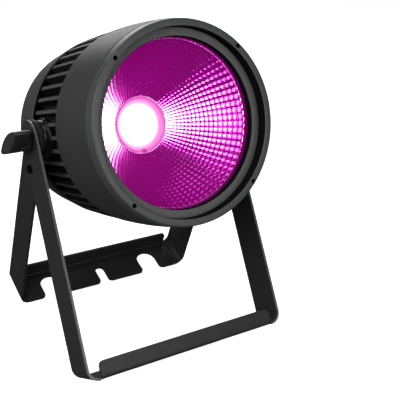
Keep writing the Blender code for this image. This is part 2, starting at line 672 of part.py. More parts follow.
def sockets(head):
    insert = SOCKET_Z
    deep = SOCKET_Z + 0.012
    contact_z = insert + 0.007
    dmx_in = panel_socket("dmx_in_socket", DMX_SPOTS[0], BLACK_PLASTIC, 0.0085, deep, head)
    for number, spot in enumerate(contacts(DMX_SPOTS[0])):
        join(dmx_in, rod(f"dmx_pin_{number}", 0.0012, 0.014, None, head, location=(*spot, contact_z),
                         sides=8))
    dmx_out = panel_socket("dmx_out_socket", DMX_SPOTS[1], BLACK_PLASTIC, 0.0098, insert, head)
    for number, spot in enumerate(contacts(DMX_SPOTS[1])):
        cut(dmx_out, rod(f"dmx_way_{number}", 0.0014, 0.020, None, head, location=(*spot, insert), sides=8))
    for label, spot, finish in (("in", POWER_SPOTS[0], BLUE_PLASTIC), ("out", POWER_SPOTS[1], GREY_PLASTIC)):
        power = panel_socket(f"power_{label}_socket", spot, finish, 0.0098, deep, head)
        join(power, rod(f"power_{label}_core", 0.0058, 0.014, None, head, location=(*spot, contact_z),
                        sides=12))
        cut(power, block(f"power_{label}_key", (0.006, 0.0024, 0.008), None, head, location=(*spot, insert)))


def safety_eye(head):
    curve = bpy.data.curves.new("safety_eye", 'CURVE')
    curve.dimensions = '3D'
    curve.bevel_depth = 0.0025
    curve.bevel_resolution = 2
    curve.use_fill_caps = True
    spline = curve.splines.new('POLY')
    half = 0.011
    route = [(-half, 0.0)] + [(x, 0.010 + z) for x, z in arc(0, 0, half, 180, 0, 10)] + [(half, 0.0)]
    spline.points.add(len(route) - 1)
    for point, (x, z) in zip(spline.points, route):
        point.co = (x, 0.0, z, 1.0)
    eye = bpy.data.objects.new("safety_eye", curve)
    curve.materials.append(BLACK_STEEL)
    PARTS.objects.link(eye)
    place(eye, head, (0, -0.090, COVER_BACK_Z - GAP), (pi, 0, 0))


# ---------------------------------------------------------------- pivot stack and knobs

def wing_outline():
    """A slim leaf: two shallow arcs that meet in rounded tips."""
    half_width = WING_WIDTH / 2
    tip = 0.0030
    reach = WING_HALF - tip
    bow = half_width - tip
    radius = (reach ** 2 + bow ** 2) / (2 * bow) + tip
    spread = atan2(reach, radius - tip - bow) * 180 / pi
    upper = arc(0, half_width - radius, radius, 90 - spread, 90 + spread, 4)
    left = arc(-reach, 0, tip, 90 + spread, 270 - spread, 2)[1:-1]
    return upper + left + [(-x, -y) for x, y in upper] + [(-x, -y) for x, y in left]


def pivot_stack(side, label, head, front, rear):
    turn = (0, side * pi / 2, 0)
    bore = STUD_R + 0.0005

    def ring(name, outer, inner, low, high, finish, anchor, sides=16):
        return turned(f"{name}_{label}", tube_profile(outer, inner, low, high), finish, anchor, sides,
                      rotation=turn)

    boss = [(0.0225, BOSS_X), (0.0240, BOSS_X - 0.0015), (0.0240, 0.1185), (0.0262, 0.1185), (0.0272, 0.1175),
            (0.0272, PAD_X + GAP), (bore, PAD_X + GAP), (bore, BOSS_X)]
    turned(f"tilt_boss_{label}", boss, COAT_DARK, head, 20, rotation=turn)
    ring("friction_washer", 0.0220, bore, BOSS_X + GAP, WASHER_X, RUBBER, head)
    ring("spacer_washer", 0.0180, bore, REAR_HALF + GAP, FRONT_HALF - BAR_THICK - GAP, BLACK_PLASTIC, rear)
    ring("knob_washer", 0.0140, bore, FRONT_HALF + GAP, FRONT_HALF + 0.0017, BLACK_STEEL, front, 20)
    base = FRONT_HALF + 0.0020
    hub_top = FRONT_HALF + 0.0130
    knob = turned(f"tilt_knob_{label}", rod_profile(0.0125, base, hub_top, 0.0008), BLACK_PLASTIC, front, 16,
                  rotation=turn)
    facing = (Matrix.Rotation(WING_ANGLE, 3, 'X') @ Matrix.Rotation(pi / 2, 3, 'X')
              @ Matrix.Rotation(pi / 2, 3, 'Y'))
    wing_x = FRONT_HALF + (KNOB_RISE + WING_GAP) / 2
    wing = extruded(f"knob_wing_{label}", wing_outline(), KNOB_RISE - WING_GAP, None, front,
                    location=(side * wing_x, 0, 0), rotation=facing.to_euler())
    round_edges(wing, 0.0012, 1, 60)
    join(knob, wing)
    stud_end = hub_top
    cut(knob, rod(f"stud_socket_{label}", STUD_R + GAP, 0.024, None, front,
                  location=(side * (stud_end + 0.0005 - 0.012), 0, 0), rotation=turn, sides=12))
    turned(f"knob_stud_{label}", rod_profile(STUD_R, PAD_X + 0.0010, stud_end, 0.0005), STEEL, front, 12,
           rotation=turn)


# ---------------------------------------------------------------- assembly

def main():
    pivot = (0.0, PIVOT_Y, PIVOT_Z)
    front = empty("front_bracket_axis", pivot, -FRONT_LEAN)
    rear = empty("rear_bracket_axis", pivot, REAR_LEAN)
    head = empty("head_tilt_axis", pivot, pi / 2 - HEAD_TILT)
    stand(front, rear)
    housing(head)
    bezel(head)
    rear_shell(head)
    optics(head)
    fan(head)
    boards(head)
    rear_panel(head)
    buttons(head)
    sockets(head)
    safety_eye(head)
    knob_axis = empty("knob_axis", pivot)
    for side, label in SIDES:
        pivot_stack(side, label, head, knob_axis, rear)


main()
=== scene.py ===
"""Looks of the par can light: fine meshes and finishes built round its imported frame.

Units are metres, +Z is up. Each piece is modelled in the frame of the part it belongs to, whose
Z runs along the beam for the head, or up the arms for a bracket, with the tilt pivot at zero.
"""

import json
from math import atan2, cos, degrees, pi, radians, sin, sqrt

import bmesh
import bpy
from mathutils import Matrix, Vector


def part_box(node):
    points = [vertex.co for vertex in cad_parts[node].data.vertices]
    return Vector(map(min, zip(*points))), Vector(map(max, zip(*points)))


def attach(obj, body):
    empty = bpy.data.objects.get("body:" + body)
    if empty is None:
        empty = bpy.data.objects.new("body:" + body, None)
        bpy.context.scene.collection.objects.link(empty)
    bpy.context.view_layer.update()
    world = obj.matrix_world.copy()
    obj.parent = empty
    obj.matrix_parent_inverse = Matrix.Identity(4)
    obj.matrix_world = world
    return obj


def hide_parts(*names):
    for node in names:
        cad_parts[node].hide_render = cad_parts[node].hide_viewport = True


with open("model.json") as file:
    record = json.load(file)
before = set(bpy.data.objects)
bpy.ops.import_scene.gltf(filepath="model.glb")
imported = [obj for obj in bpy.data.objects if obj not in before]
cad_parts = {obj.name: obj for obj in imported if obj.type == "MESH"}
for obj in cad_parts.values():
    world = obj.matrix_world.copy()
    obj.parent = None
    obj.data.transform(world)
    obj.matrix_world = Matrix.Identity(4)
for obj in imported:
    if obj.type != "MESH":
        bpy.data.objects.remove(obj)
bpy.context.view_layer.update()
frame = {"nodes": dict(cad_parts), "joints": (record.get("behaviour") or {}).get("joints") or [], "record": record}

# -------- frames and sizes

JOINTS = {joint["name"]: joint for joint in frame["joints"]}
MOUNTS = {mount["name"]: mount for mount in frame["record"]["mounts"]}
PIVOT = Vector(JOINTS["head_tilt"]["pos_m"])
RIGHT = Vector((1.0, 0.0, 0.0))


def frame_along(z_axis):
    """Frame at the pivot whose X is the tilt axis and whose Z is the given direction."""
    z_axis = Vector(z_axis).normalized()
    y_axis = z_axis.cross(RIGHT)
    turn = Matrix((RIGHT, y_axis, z_axis)).transposed()
    return Matrix.Translation(PIVOT) @ turn.to_4x4()


HEAD = frame_along(JOINTS["fan_spin"]["axis"])
FRONT_ARM = frame_along([-value for value in MOUNTS["front_foot_face"]["axis"]])
REAR_ARM = frame_along([-value for value in MOUNTS["rear_foot_face"]["axis"]])
AXLE = Matrix.Translation(PIVOT)


def drop_to(mount):
    """Distance from the pivot to a foot's underside."""
    return (Vector(MOUNTS[mount]["pos_m"]) - PIVOT).dot(Vector(MOUNTS[mount]["axis"]))


GAP = 0.0003
FRONT_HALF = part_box("front_bracket")[1].x
REAR_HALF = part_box("rear_bracket")[1].x
FRONT_DROP = drop_to("front_foot_face")
REAR_DROP = drop_to("rear_foot_face")
FOLD_ANGLE = FRONT_ARM.col[2].xyz.angle(REAR_ARM.col[2].xyz)
BAR_WIDTH = 0.048
BAR_THICK = 0.003
BEND_RADIUS = 0.015
FLANGE_HALF = 0.120
FLANGE_BEND = 0.005
FRONT_FLANGE = 0.0208
REAR_FLANGE = 0.0235
WIDE_NOTCH = (0.078, 0.029, 0.035)         # offset, width, depth
CENTRE_NOTCH = (0.0, 0.013, 0.028)
NOTCH_LIP = 0.006
LIMIT_RADIUS = 0.035
SLOT_REACH = FOLD_ANGLE / 2 - radians(0.6)

FRONT_Z = 0.1375
SEAM_Z = 0.1252
STEP_R, STEP_Z = 0.1068, 0.1230
LEDGE_R = 0.0972
SEAT_R, SEAT_Z = 0.1082, 0.1069
SCREW_R = 0.1113
CROWN_R, CROWN_Z = 0.1195, 0.065
FIN_FRONT_Z, FIN_REAR_Z = 0.045, -0.037
FIN_COUNT = 48
FIN_THICK = 0.0044
FIN_NOSE = 0.013
CORE_R = 0.101
CORE_WALL = 0.006
BULKHEAD_Z = 0.016
BULKHEAD_THICK = 0.008
GLASS_Z = 0.109
RIM_R = 0.0963
THROAT_R, THROAT_Z = 0.0355, 0.0264
COVER_FRONT_Z, COVER_BACK_Z = -0.041, -0.111
COVER_FRONT_R, COVER_REAR_R = 0.1167, 0.1085
POST_R = 0.0965
PANEL_R = 0.086
PANEL_Z = -0.1077
PAD_X, BOSS_X = 0.112, 0.1246
STUD_R = 0.004
KNOB_RISE = 0.026
WING_GAP = 0.0065
WING_HALF, WING_WIDTH = 0.0325, 0.019
WING_ANGLE = radians(-37.0)
SIDES = ((-1, "left"), (1, "right"))
THROUGH = 0.4                              # drill length, longer than the light is wide

FACET_HIGHLIGHT = "facet_middle_highlight"                # mesh attribute where the mirror's material paints a highlight down each facet column's middle
MIRROR_ONLY = "mirror_only"                # collection that the linked lights fall on
EMITTER_POWER = 20.0
GLOSSY_DIMMING = (0.08, 0.08, 0.08)        # how much of the mirror's painted magenta light a glossy ray sees


# -------- camera

VIEW_AZIMUTH, VIEW_ELEVATION, VIEW_ROLL = radians(-31.29), radians(20.61), radians(1.65)
CAMERA_OFFSET = (0.04275, -0.05039, 0.95216)      # right of, above and behind the pivot
CAMERA_LENS = 67.86
CAMERA_SHIFT = (0.0875, -0.0875)


def make_camera():
    """Looks down at the light from its left, with the light in the left part of the picture."""
    back = Vector((sin(VIEW_AZIMUTH) * cos(VIEW_ELEVATION), -cos(VIEW_AZIMUTH) * cos(VIEW_ELEVATION),
                   sin(VIEW_ELEVATION)))
    level = (-back).cross(Vector((0, 0, 1))).normalized()
    upright = level.cross(-back)
    right = level * cos(VIEW_ROLL) + upright * sin(VIEW_ROLL)
    up = upright * cos(VIEW_ROLL) - level * sin(VIEW_ROLL)
    aside, above, behind = CAMERA_OFFSET
    data = bpy.data.cameras.new("camera")
    data.sensor_width = 36.0
    data.lens = CAMERA_LENS
    data.shift_x, data.shift_y = CAMERA_SHIFT
    data.clip_start = 0.01
    camera = bpy.data.objects.new("camera", data)
    bpy.context.scene.collection.objects.link(camera)
    turn = Matrix((right, up, back)).transposed().to_4x4()
    camera.matrix_world = Matrix.Translation(PIVOT + right * aside + up * above + back * behind) @ turn
    bpy.context.scene.camera = camera


make_camera()


# -------- materials

def new_material(name):
    mat = bpy.data.materials.new(name)
    mat.use_nodes = True
    tree = mat.node_tree
    return mat, tree, tree.nodes["Principled BSDF"]


def noise(tree, scale, detail=2.0):
    place = tree.nodes.new("ShaderNodeTexCoord")
    texture = tree.nodes.new("ShaderNodeTexNoise")
    texture.inputs["Scale"].default_value = scale
    texture.inputs["Detail"].default_value = detail
    tree.links.new(place.outputs["Object"], texture.inputs["Vector"])
    return texture.outputs["Fac"]


def spread(tree, source, low, high, start=0.3, stop=0.7):
    """Maps a mask from start..stop onto low..high."""
    node = tree.nodes.new("ShaderNodeMapRange")
    for key, value in (("From Min", start), ("From Max", stop), ("To Min", low), ("To Max", high)):
        node.inputs[key].default_value = value
    tree.links.new(source, node.inputs["Value"])
    return node.outputs["Result"]


def blend_colors(tree, mask, first, second):
    node = tree.nodes.new("ShaderNodeMix")
    node.data_type = 'RGBA'
    for socket, value in ((node.inputs[6], first), (node.inputs[7], second)):
        if isinstance(value, tuple):
            socket.default_value = (*value, 1.0)
        else:
            tree.links.new(value, socket)
    tree.links.new(mask, node.inputs[0])
    return node.outputs[2]


def add_bump(tree, shader, source, strength, distance):
    node = tree.nodes.new("ShaderNodeBump")
    node.inputs["Strength"].default_value = strength
    node.inputs["Distance"].default_value = distance
    tree.links.new(source, node.inputs["Height"])
    tree.links.new(node.outputs["Normal"], shader.inputs["Normal"])


def edge_mask(tree, start, stop):
    """White on convex edges, from the mesh's own curvature."""
    geometry = tree.nodes.new("ShaderNodeNewGeometry")
    return spread(tree, geometry.outputs["Pointiness"], 0.0, 1.0, start, stop)


def shade(color, factor):
    return tuple(min(channel * factor, 1.0) for channel in color)


def surface(name, color, roughness, metallic=0.0, grain=1500.0, grain_depth=0.00008, gloss=0.35, tone=0.16,
            pale_edges=0.0):
    """A painted, moulded or plated surface: mottled colour, uneven gloss, fine grain and paler convex edges."""
    mat, tree, shader = new_material(name)
    mottled = blend_colors(tree, noise(tree, 60.0, 4.0), shade(color, 1 - tone), shade(color, 1 + tone))
    fine = noise(tree, grain)
    speckled = blend_colors(tree, spread(tree, fine, 0.0, 0.7, 0.50, 0.80), mottled, shade(color, 2.2))
    # convex edges, found from the mesh's curvature, are made paler by the given factor
    if pale_edges:
        speckled = blend_colors(tree, edge_mask(tree, 0.52, 0.60), speckled, shade(color, 1 + pale_edges))
    tree.links.new(speckled, shader.inputs["Base Color"])
    tree.links.new(spread(tree, noise(tree, 180.0, 3.0), roughness - 0.05, roughness + 0.06),
                   shader.inputs["Roughness"])
    shader.inputs["Metallic"].default_value = metallic
    shader.inputs["Specular IOR Level"].default_value = gloss
    add_bump(tree, shader, fine, 0.4, grain_depth)
    return mat


CAST_COAT = surface("cast_powder_coat", (0.026, 0.026, 0.027), 0.50, pale_edges=0.9)
BEZEL_COAT = surface("bezel_powder_coat", (0.043, 0.046, 0.0455), 0.40, pale_edges=1.4)
# painted light: a paler copy of the bezel coat for the lens ledge, which the step wall shades
LEDGE_PAINTED_LIGHT = surface("ledge_coat_painted_light", (0.060, 0.061, 0.059), 0.42, pale_edges=1.2)
SHADE_COAT = surface("shaded_bore_coat", (0.004, 0.004, 0.004), 0.85, gloss=0.05)
# painted highlight: a paler copy of the bracket coat for the front bracket's lit front edges
EDGE_HIGHLIGHT_COAT = surface("bracket_edge_painted_highlight", (0.075, 0.075, 0.077), 0.36)
BAR_COAT = surface("bracket_powder_coat", (0.019, 0.019, 0.020), 0.44, gloss=0.25)
# painted shade: a darker copy of the bracket coat, so that the rear foot's top stays dim
REAR_SHADED_COAT = surface("rear_bracket_coat_painted_shade", (0.014, 0.014, 0.015), 0.50, gloss=0.20)
PANEL_COAT = surface("panel_powder_coat", (0.013, 0.013, 0.014), 0.50)
BLACK_PLASTIC = surface("black_plastic", (0.011, 0.011, 0.012), 0.30, grain=900.0, grain_depth=0.00004)
RUBBER = surface("black_rubber", (0.006, 0.006, 0.006), 0.70, grain=700.0)
# black screw steel, and painted shade: darker and duller than the blackened steel, to take in the shade round the
# screw heads
SCREW_STEEL_SHADED = surface("black_screw_painted_shade", (0.002, 0.002, 0.002), 0.80, gloss=0.03)
# painted shade: a darker copy of the cast coat for the fins' flanks, the core between them and round the boss pads
FIN_GAP_SHADE = surface("fin_gap_painted_shade", (0.009, 0.009, 0.009), 0.60, gloss=0.12)
BOSS_PLASTIC = surface("boss_plastic", (0.004, 0.004, 0.0045), 0.26, gloss=0.30)
KNOB_PLASTIC = surface("knob_plastic", (0.020, 0.020, 0.021), 0.36, grain=900.0, grain_depth=0.00004)
COVER_COAT = surface("cover_powder_coat", (0.035, 0.035, 0.036), 0.50, pale_edges=0.9)
BLACK_STEEL = surface("blackened_steel", (0.008, 0.008, 0.009), 0.34, 0.3, grain=500.0)
ZINC = surface("zinc_plate", (0.55, 0.56, 0.58), 0.32, 1.0, grain=900.0, tone=0.10)
GREY_PLASTIC = surface("grey_plastic", (0.24, 0.25, 0.26), 0.42, grain=900.0, tone=0.06)
BLUE_PLASTIC = surface("blue_plastic", (0.015, 0.075, 0.32), 0.34, grain=900.0, tone=0.08)
WINDOW = surface("smoked_window", (0.006, 0.009, 0.015), 0.06, grain=300.0, grain_depth=0.000005, gloss=0.5)
BOARD = surface("solder_mask", (0.02, 0.13, 0.06), 0.42, grain=400.0, tone=0.25)
BRASS = surface("brass_contact", (0.62, 0.45, 0.16), 0.28, 1.0, grain=900.0, tone=0.10)


def mirror_finish():
    """Metallised facets coloured with painted magenta light and a painted magenta glow, paler down each column as
    a painted highlight. Glossy rays see them darker.
    """
    mat, tree, shader = new_material("faceted_mirror")
    facet = tree.nodes.new("ShaderNodeAttribute")
    facet.attribute_name = FACET_HIGHLIGHT
    # painted light: the metal takes the emitter's magenta light as its colour, paler in each column's painted
    # highlight
    painted_magenta = blend_colors(tree, facet.outputs["Fac"], (0.34, 0.008, 0.27), (0.62, 0.120, 0.54))
    rays = tree.nodes.new("ShaderNodeLightPath")
    seen = blend_colors(tree, rays.outputs["Is Glossy Ray"], (1.0, 1.0, 1.0), GLOSSY_DIMMING)
    dimmed = tree.nodes.new("ShaderNodeVectorMath")
    dimmed.operation = 'MULTIPLY'
    tree.links.new(painted_magenta, dimmed.inputs[0])
    tree.links.new(seen, dimmed.inputs[1])
    tree.links.new(dimmed.outputs["Vector"], shader.inputs["Base Color"])
    shader.inputs["Metallic"].default_value = 1.0
    tree.links.new(spread(tree, noise(tree, 400.0), 0.10, 0.14), shader.inputs["Roughness"])
    add_bump(tree, shader, noise(tree, 700.0), 0.10, 0.00004)
    # painted glow: the mirror is no lamp; this magenta emission stands in for the emitter's light reflected round
    # the dish
    glow = blend_colors(tree, facet.outputs["Fac"], (0.86, 0.0, 0.58), (1.0, 0.002, 0.70))
    tree.links.new(glow, shader.inputs["Emission Color"])
    shader.inputs["Emission Strength"].default_value = 0.19
    return mat


def lit_finish(name, inner, outer, strengths, colors, base, falloff=1.0):
    """Glow that changes from an inner to an outer radius round the emitter, sooner with more falloff."""
    mat, tree, shader = new_material(name)
    centre = HEAD @ Vector((0, 0, BULKHEAD_Z + 0.005))
    place = tree.nodes.new("ShaderNodeTexCoord")
    away = tree.nodes.new("ShaderNodeVectorMath")
    away.operation = 'DISTANCE'
    away.inputs[1].default_value = centre
    tree.links.new(place.outputs["Object"], away.inputs[0])
    edge = spread(tree, away.outputs["Value"], 0.0, 1.0, inner, outer)
    tree.links.new(blend_colors(tree, edge, *colors), shader.inputs["Emission Color"])
    core = tree.nodes.new("ShaderNodeMath")
    core.operation = 'POWER'
    tree.links.new(spread(tree, edge, 1.0, 0.0, 0.0, 1.0), core.inputs[0])
    core.inputs[1].default_value = falloff
    tree.links.new(spread(tree, core.outputs["Value"], *reversed(strengths), 0.0, 1.0),
                   shader.inputs["Emission Strength"])
    mottled = blend_colors(tree, noise(tree, 90.0), shade(base, 0.9), base)
    tree.links.new(mottled, shader.inputs["Base Color"])
    shader.inputs["Roughness"].default_value = 0.45
    add_bump(tree, shader, noise(tree, 800.0), 0.1, 0.00003)
    return mat


def glass_finish():
    """Clear pane: nearly all see-through, with a faint sheen."""
    mat, tree, shader = new_material("clear_glass")
    tree.links.new(blend_colors(tree, noise(tree, 20.0), (0.02, 0.022, 0.022), (0.03, 0.032, 0.032)),
                   shader.inputs["Base Color"])
    tree.links.new(spread(tree, noise(tree, 30.0), 0.01, 0.03), shader.inputs["Roughness"])
    shader.inputs["Specular IOR Level"].default_value = 0.1
    shader.inputs["Alpha"].default_value = 0.05
    return mat


MIRROR = mirror_finish()
GLOW = lit_finish("led_glow", 0.0195, 0.0268, (EMITTER_POWER, 1.2), ((1.0, 0.96, 1.0), (1.0, 0.62, 0.95)),
                  (1.0, 0.9, 1.0), 2.5)
# painted glow: the holder and board are no lamps; their pink emission and colour stand in for the emitter's light
# on them
CERAMIC_PAINTED_GLOW = lit_finish("ceramic_painted_glow", 0.0266, 0.0340, (1.0, 0.66),
                     ((1.0, 0.72, 0.96), (0.95, 0.08, 0.62)), (0.35, 0.06, 0.26))
# painted glow: the wire tab is no lamp; its magenta emission stands in for the emitter's light on it
TAB_PAINTED_GLOW = lit_finish("tab_painted_glow", 0.0300, 0.0360, (0.50, 0.40),
                 ((0.90, 0.08, 0.62), (0.80, 0.05, 0.56)), (0.20, 0.02, 0.14))
GLASS = glass_finish()
# painted light: the polished beads take the emitter's pink light as their colour
BEAD_PAINTED_PINK = surface("polished_bead_painted_pink", (0.85, 0.50, 0.80), 0.22, 0.9, grain=900.0, tone=0.05)


# -------- mesh helpers

def fillet(points, closed, default, steps):
    """Rounds a profile's corners. A point is (r, z) or (r, z, rounding)."""
    count = len(points)
    out = []
    for i, point in enumerate(points):
        here = Vector(point[:2])
        size = point[2] if len(point) > 2 else default
        if not size or (not closed and i in (0, count - 1)):
            out.append(here)
            continue
        before = Vector(points[i - 1][:2]) - here
        after = Vector(points[(i + 1) % count][:2]) - here
        reach = min(size, 0.48 * before.length, 0.48 * after.length)
        first = here + before.normalized() * reach
        last = here + after.normalized() * reach
        for k in range(steps + 1):
            t = k / steps
            out.append(first * (1 - t) ** 2 + here * (2 * t * (1 - t)) + last * t * t)
    return out


def lathe_mesh(profile, sides, rounding, steps=3):
    closed = profile[0][0] > 0
    bm = bmesh.new()
    points = [bm.verts.new((p.x, 0.0, p.y)) for p in fillet(profile, closed, rounding, steps)]
    edges = [bm.edges.new(pair) for pair in zip(points, points[1:])]
    if closed:
        edges.append(bm.edges.new((points[-1], points[0])))
    bmesh.ops.spin(bm, geom=points + edges, cent=(0, 0, 0), axis=(0, 0, 1), angle=2 * pi, steps=sides,
                   use_merge=True)
    bmesh.ops.remove_doubles(bm, verts=bm.verts, dist=0.000002)
    bmesh.ops.recalc_face_normals(bm, faces=bm.faces)
    return bm


def outline_mesh(outline, thickness):
    """A flat outline in XY, thickened evenly to both sides."""
    bm = bmesh.new()
    face = bm.faces.new([bm.verts.new((x, y, -thickness / 2)) for x, y in outline])
    grown = bmesh.ops.extrude_face_region(bm, geom=[face])
    lifted = [item for item in grown["geom"] if isinstance(item, bmesh.types.BMVert)]
    bmesh.ops.translate(bm, vec=(0, 0, thickness), verts=lifted)
    bmesh.ops.recalc_face_normals(bm, faces=bm.faces)
    return bm


def box_mesh(size):
    bm = bmesh.new()
    bmesh.ops.create_cube(bm, size=1.0)
    bmesh.ops.scale(bm, vec=size, verts=bm.verts)
    return bm


def rod_mesh(radius, length, sides=32):
    bm = bmesh.new()
    bmesh.ops.create_cone(bm, cap_ends=True, segments=sides, radius1=radius, radius2=radius, depth=length)
    return bm


def to_object(name, bm, matrix=Matrix()):
    """An object at the origin whose mesh is in place."""
    mesh = bpy.data.meshes.new(name)
    bm.to_mesh(mesh)
    bm.free()
    mesh.transform(matrix)
    thing = bpy.data.objects.new(name, mesh)
    bpy.context.scene.collection.objects.link(thing)
    return thing


def settle(thing):
    """Applies an object's modifiers to its mesh."""
    graph = bpy.context.evaluated_depsgraph_get()
    mesh = bpy.data.meshes.new_from_object(thing.evaluated_get(graph))
    thing.modifiers.clear()
    thing.data = mesh
    return thing


def combine(target, tools, operation):
    for tool in tools:
        modifier = target.modifiers.new("combine", 'BOOLEAN')
        modifier.operation = operation
        modifier.solver = 'MANIFOLD'
        modifier.object = tool
    settle(target)
    for tool in tools:
        bpy.data.objects.remove(tool)
    return target


def cut(target, *tools):
    return combine(target, tools, 'DIFFERENCE')


def join(target, *tools):
    return combine(target, tools, 'UNION')


def round_edges(thing, width, segments=2, angle=35):
    modifier = thing.modifiers.new("round", 'BEVEL')
    modifier.width = width
    modifier.segments = segments
    modifier.limit_method = 'ANGLE'
    modifier.angle_limit = radians(angle)
    modifier.harden_normals = False
    return settle(thing)


def piece(thing, finish, body, replaces=(), sharp=38):
    """Dresses a finished object, ties it to its body and hides the CAD nodes that it replaces."""
    thing.data.materials.clear()
    thing.data.materials.append(finish)
    thing.data.shade_smooth()
    thing.data.set_sharp_from_angle(angle=radians(sharp))
    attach(thing, body)
    if replaces:
        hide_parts(*replaces)
    return thing


def arc(cx, cy, radius, start, stop, steps):
    points = []
    for i in range(steps + 1):
        angle = radians(start + (stop - start) * i / steps)
        points.append((cx + radius * cos(angle), cy + radius * sin(angle)))
    return points


def rounded_box(width, height, radius, steps=6):
    x, y = width / 2 - radius, height / 2 - radius
    return (arc(x, y, radius, 0, 90, steps) + arc(-x, y, radius, 90, 180, steps)
            + arc(-x, -y, radius, 180, 270, steps) + arc(x, -y, radius, 270, 360, steps))


def corners(radius):
    angles = [pi / 4 + number * pi / 2 for number in range(4)]
    return [(radius * cos(angle), radius * sin(angle)) for angle in angles]


def at(x, y, z):
    return Matrix.Translation((x, y, z))


def in_head(name, bm, x, y, z):
    """An object whose mesh stands at a place in the head's own frame."""
    return to_object(name, bm, HEAD @ at(x, y, z))


def turned(angle):
    return Matrix.Rotation(angle, 4, 'Z')


ALONG_X = Matrix.Rotation(pi / 2, 4, 'Y')
STANDING = Matrix.Rotation(pi / 2, 4, 'X')
BACKWARDS = Matrix.Rotation(pi, 4, 'X')


def sideways(side):
    """Frame at the pivot whose Z points out of one side of the light."""
    return AXLE @ Matrix.Rotation(side * pi / 2, 4, 'Y')


# -------- brackets

def u_outline(half, drop):
    top = BAR_WIDTH
    inner = BEND_RADIUS - BAR_THICK
    left, right, low = -half + BEND_RADIUS, half - BEND_RADIUS, -drop + BEND_RADIUS
    outside = ([(-half, top)] + arc(left, low, BEND_RADIUS, 180, 270, 16)
               + arc(right, low, BEND_RADIUS, 270, 360, 16) + [(half, top)])
    inside = ([(half - BAR_THICK, top)] + arc(right, low, inner, 360, 270, 16)
              + arc(left, low, inner, 270, 180, 16) + [(-half + BAR_THICK, top)])
    return outside + inside


def side_outline(drop):
    half = BAR_WIDTH / 2
    return arc(0, 0, half, -90, 90, 40) + [(-drop - 0.01, half), (-drop - 0.01, -half)]


def flange_section(drop, height, side):
    edge = BAR_WIDTH / 2
    y, z = edge - FLANGE_BEND, -drop + FLANGE_BEND
    inner = FLANGE_BEND - BAR_THICK
    points = ([(edge - 0.014, -drop)] + arc(y, z, FLANGE_BEND, 270, 360, 10)
              + [(edge, -drop + height), (edge - BAR_THICK, -drop + height)]
              + arc(y, z, inner, 360, 270, 10) + [(edge - 0.014, -drop + BAR_THICK)])
    return [(side * py, pz) for py, pz in points]


def notch_outline(notch, side):
    offset, width, depth = notch
    half = width / 2
    mouth = BAR_WIDTH / 2
    flare = half + NOTCH_LIP
    right = arc(flare, mouth - NOTCH_LIP, NOTCH_LIP, 90, 180, 8)
    left = arc(-flare, mouth - NOTCH_LIP, NOTCH_LIP, 0, 90, 8)
    points = ([(flare, mouth + 0.01)] + right + arc(0, mouth - depth + half, half, 0, -180, 24) + left
              + [(-flare, mouth + 0.01)])
    return [(offset + x, side * y) for x, y in points]


def arc_slot_outline(reach, half):
    """A slot that curves about the pivot, drawn in (z, y)."""
    turn = degrees(reach)
    outer = arc(0, 0, LIMIT_RADIUS + half, -turn, turn, 16)
    inner = arc(0, 0, LIMIT_RADIUS - half, turn, -turn, 16)
    far = LIMIT_RADIUS * cos(reach), LIMIT_RADIUS * sin(reach)
    return (outer + arc(far[0], far[1], half, turn, turn + 180, 8)[1:-1] + inner
            + arc(far[0], -far[1], half, 180 - turn, 360 - turn, 8)[1:-1])


def bracket(name, half, drop, flange, side, place):
    across = Matrix.Rotation(-pi / 2, 4, 'Y')
    bar = to_object(name, outline_mesh(u_outline(half, drop), 0.060), place @ STANDING)
    outline = to_object("side", outline_mesh(side_outline(drop), 2 * half + 0.02), place @ across)
    combine(bar, [outline], 'INTERSECT')
    edge = side * BAR_WIDTH / 2
    cut(bar, to_object("room", box_mesh((2 * FLANGE_HALF + 0.002, 0.026, 0.012)), place @ at(0, edge, -drop)))
    along = Matrix.Rotation(pi / 2, 4, 'Z') @ Matrix.Rotation(pi / 2, 4, 'X')
    section = flange_section(drop, flange, side)
    strip = to_object("flange", outline_mesh(section, 2 * FLANGE_HALF), place @ along)
    ends = to_object("ends", outline_mesh(rounded_box(2 * FLANGE_HALF, flange * 2, 0.006), 0.08),
                     place @ at(0, edge, -drop) @ STANDING)
    combine(strip, [ends], 'INTERSECT')
    join(bar, strip)
    notches = (CENTRE_NOTCH, WIDE_NOTCH, (-WIDE_NOTCH[0],) + WIDE_NOTCH[1:])
    tools = [to_object("notch", outline_mesh(notch_outline(notch, -side), 0.02), place @ at(0, 0, -drop))
             for notch in notches]
    tools.append(to_object("pivot_hole", rod_mesh(STUD_R + 0.0006, THROUGH), place @ ALONG_X))
    return cut(bar, *tools)


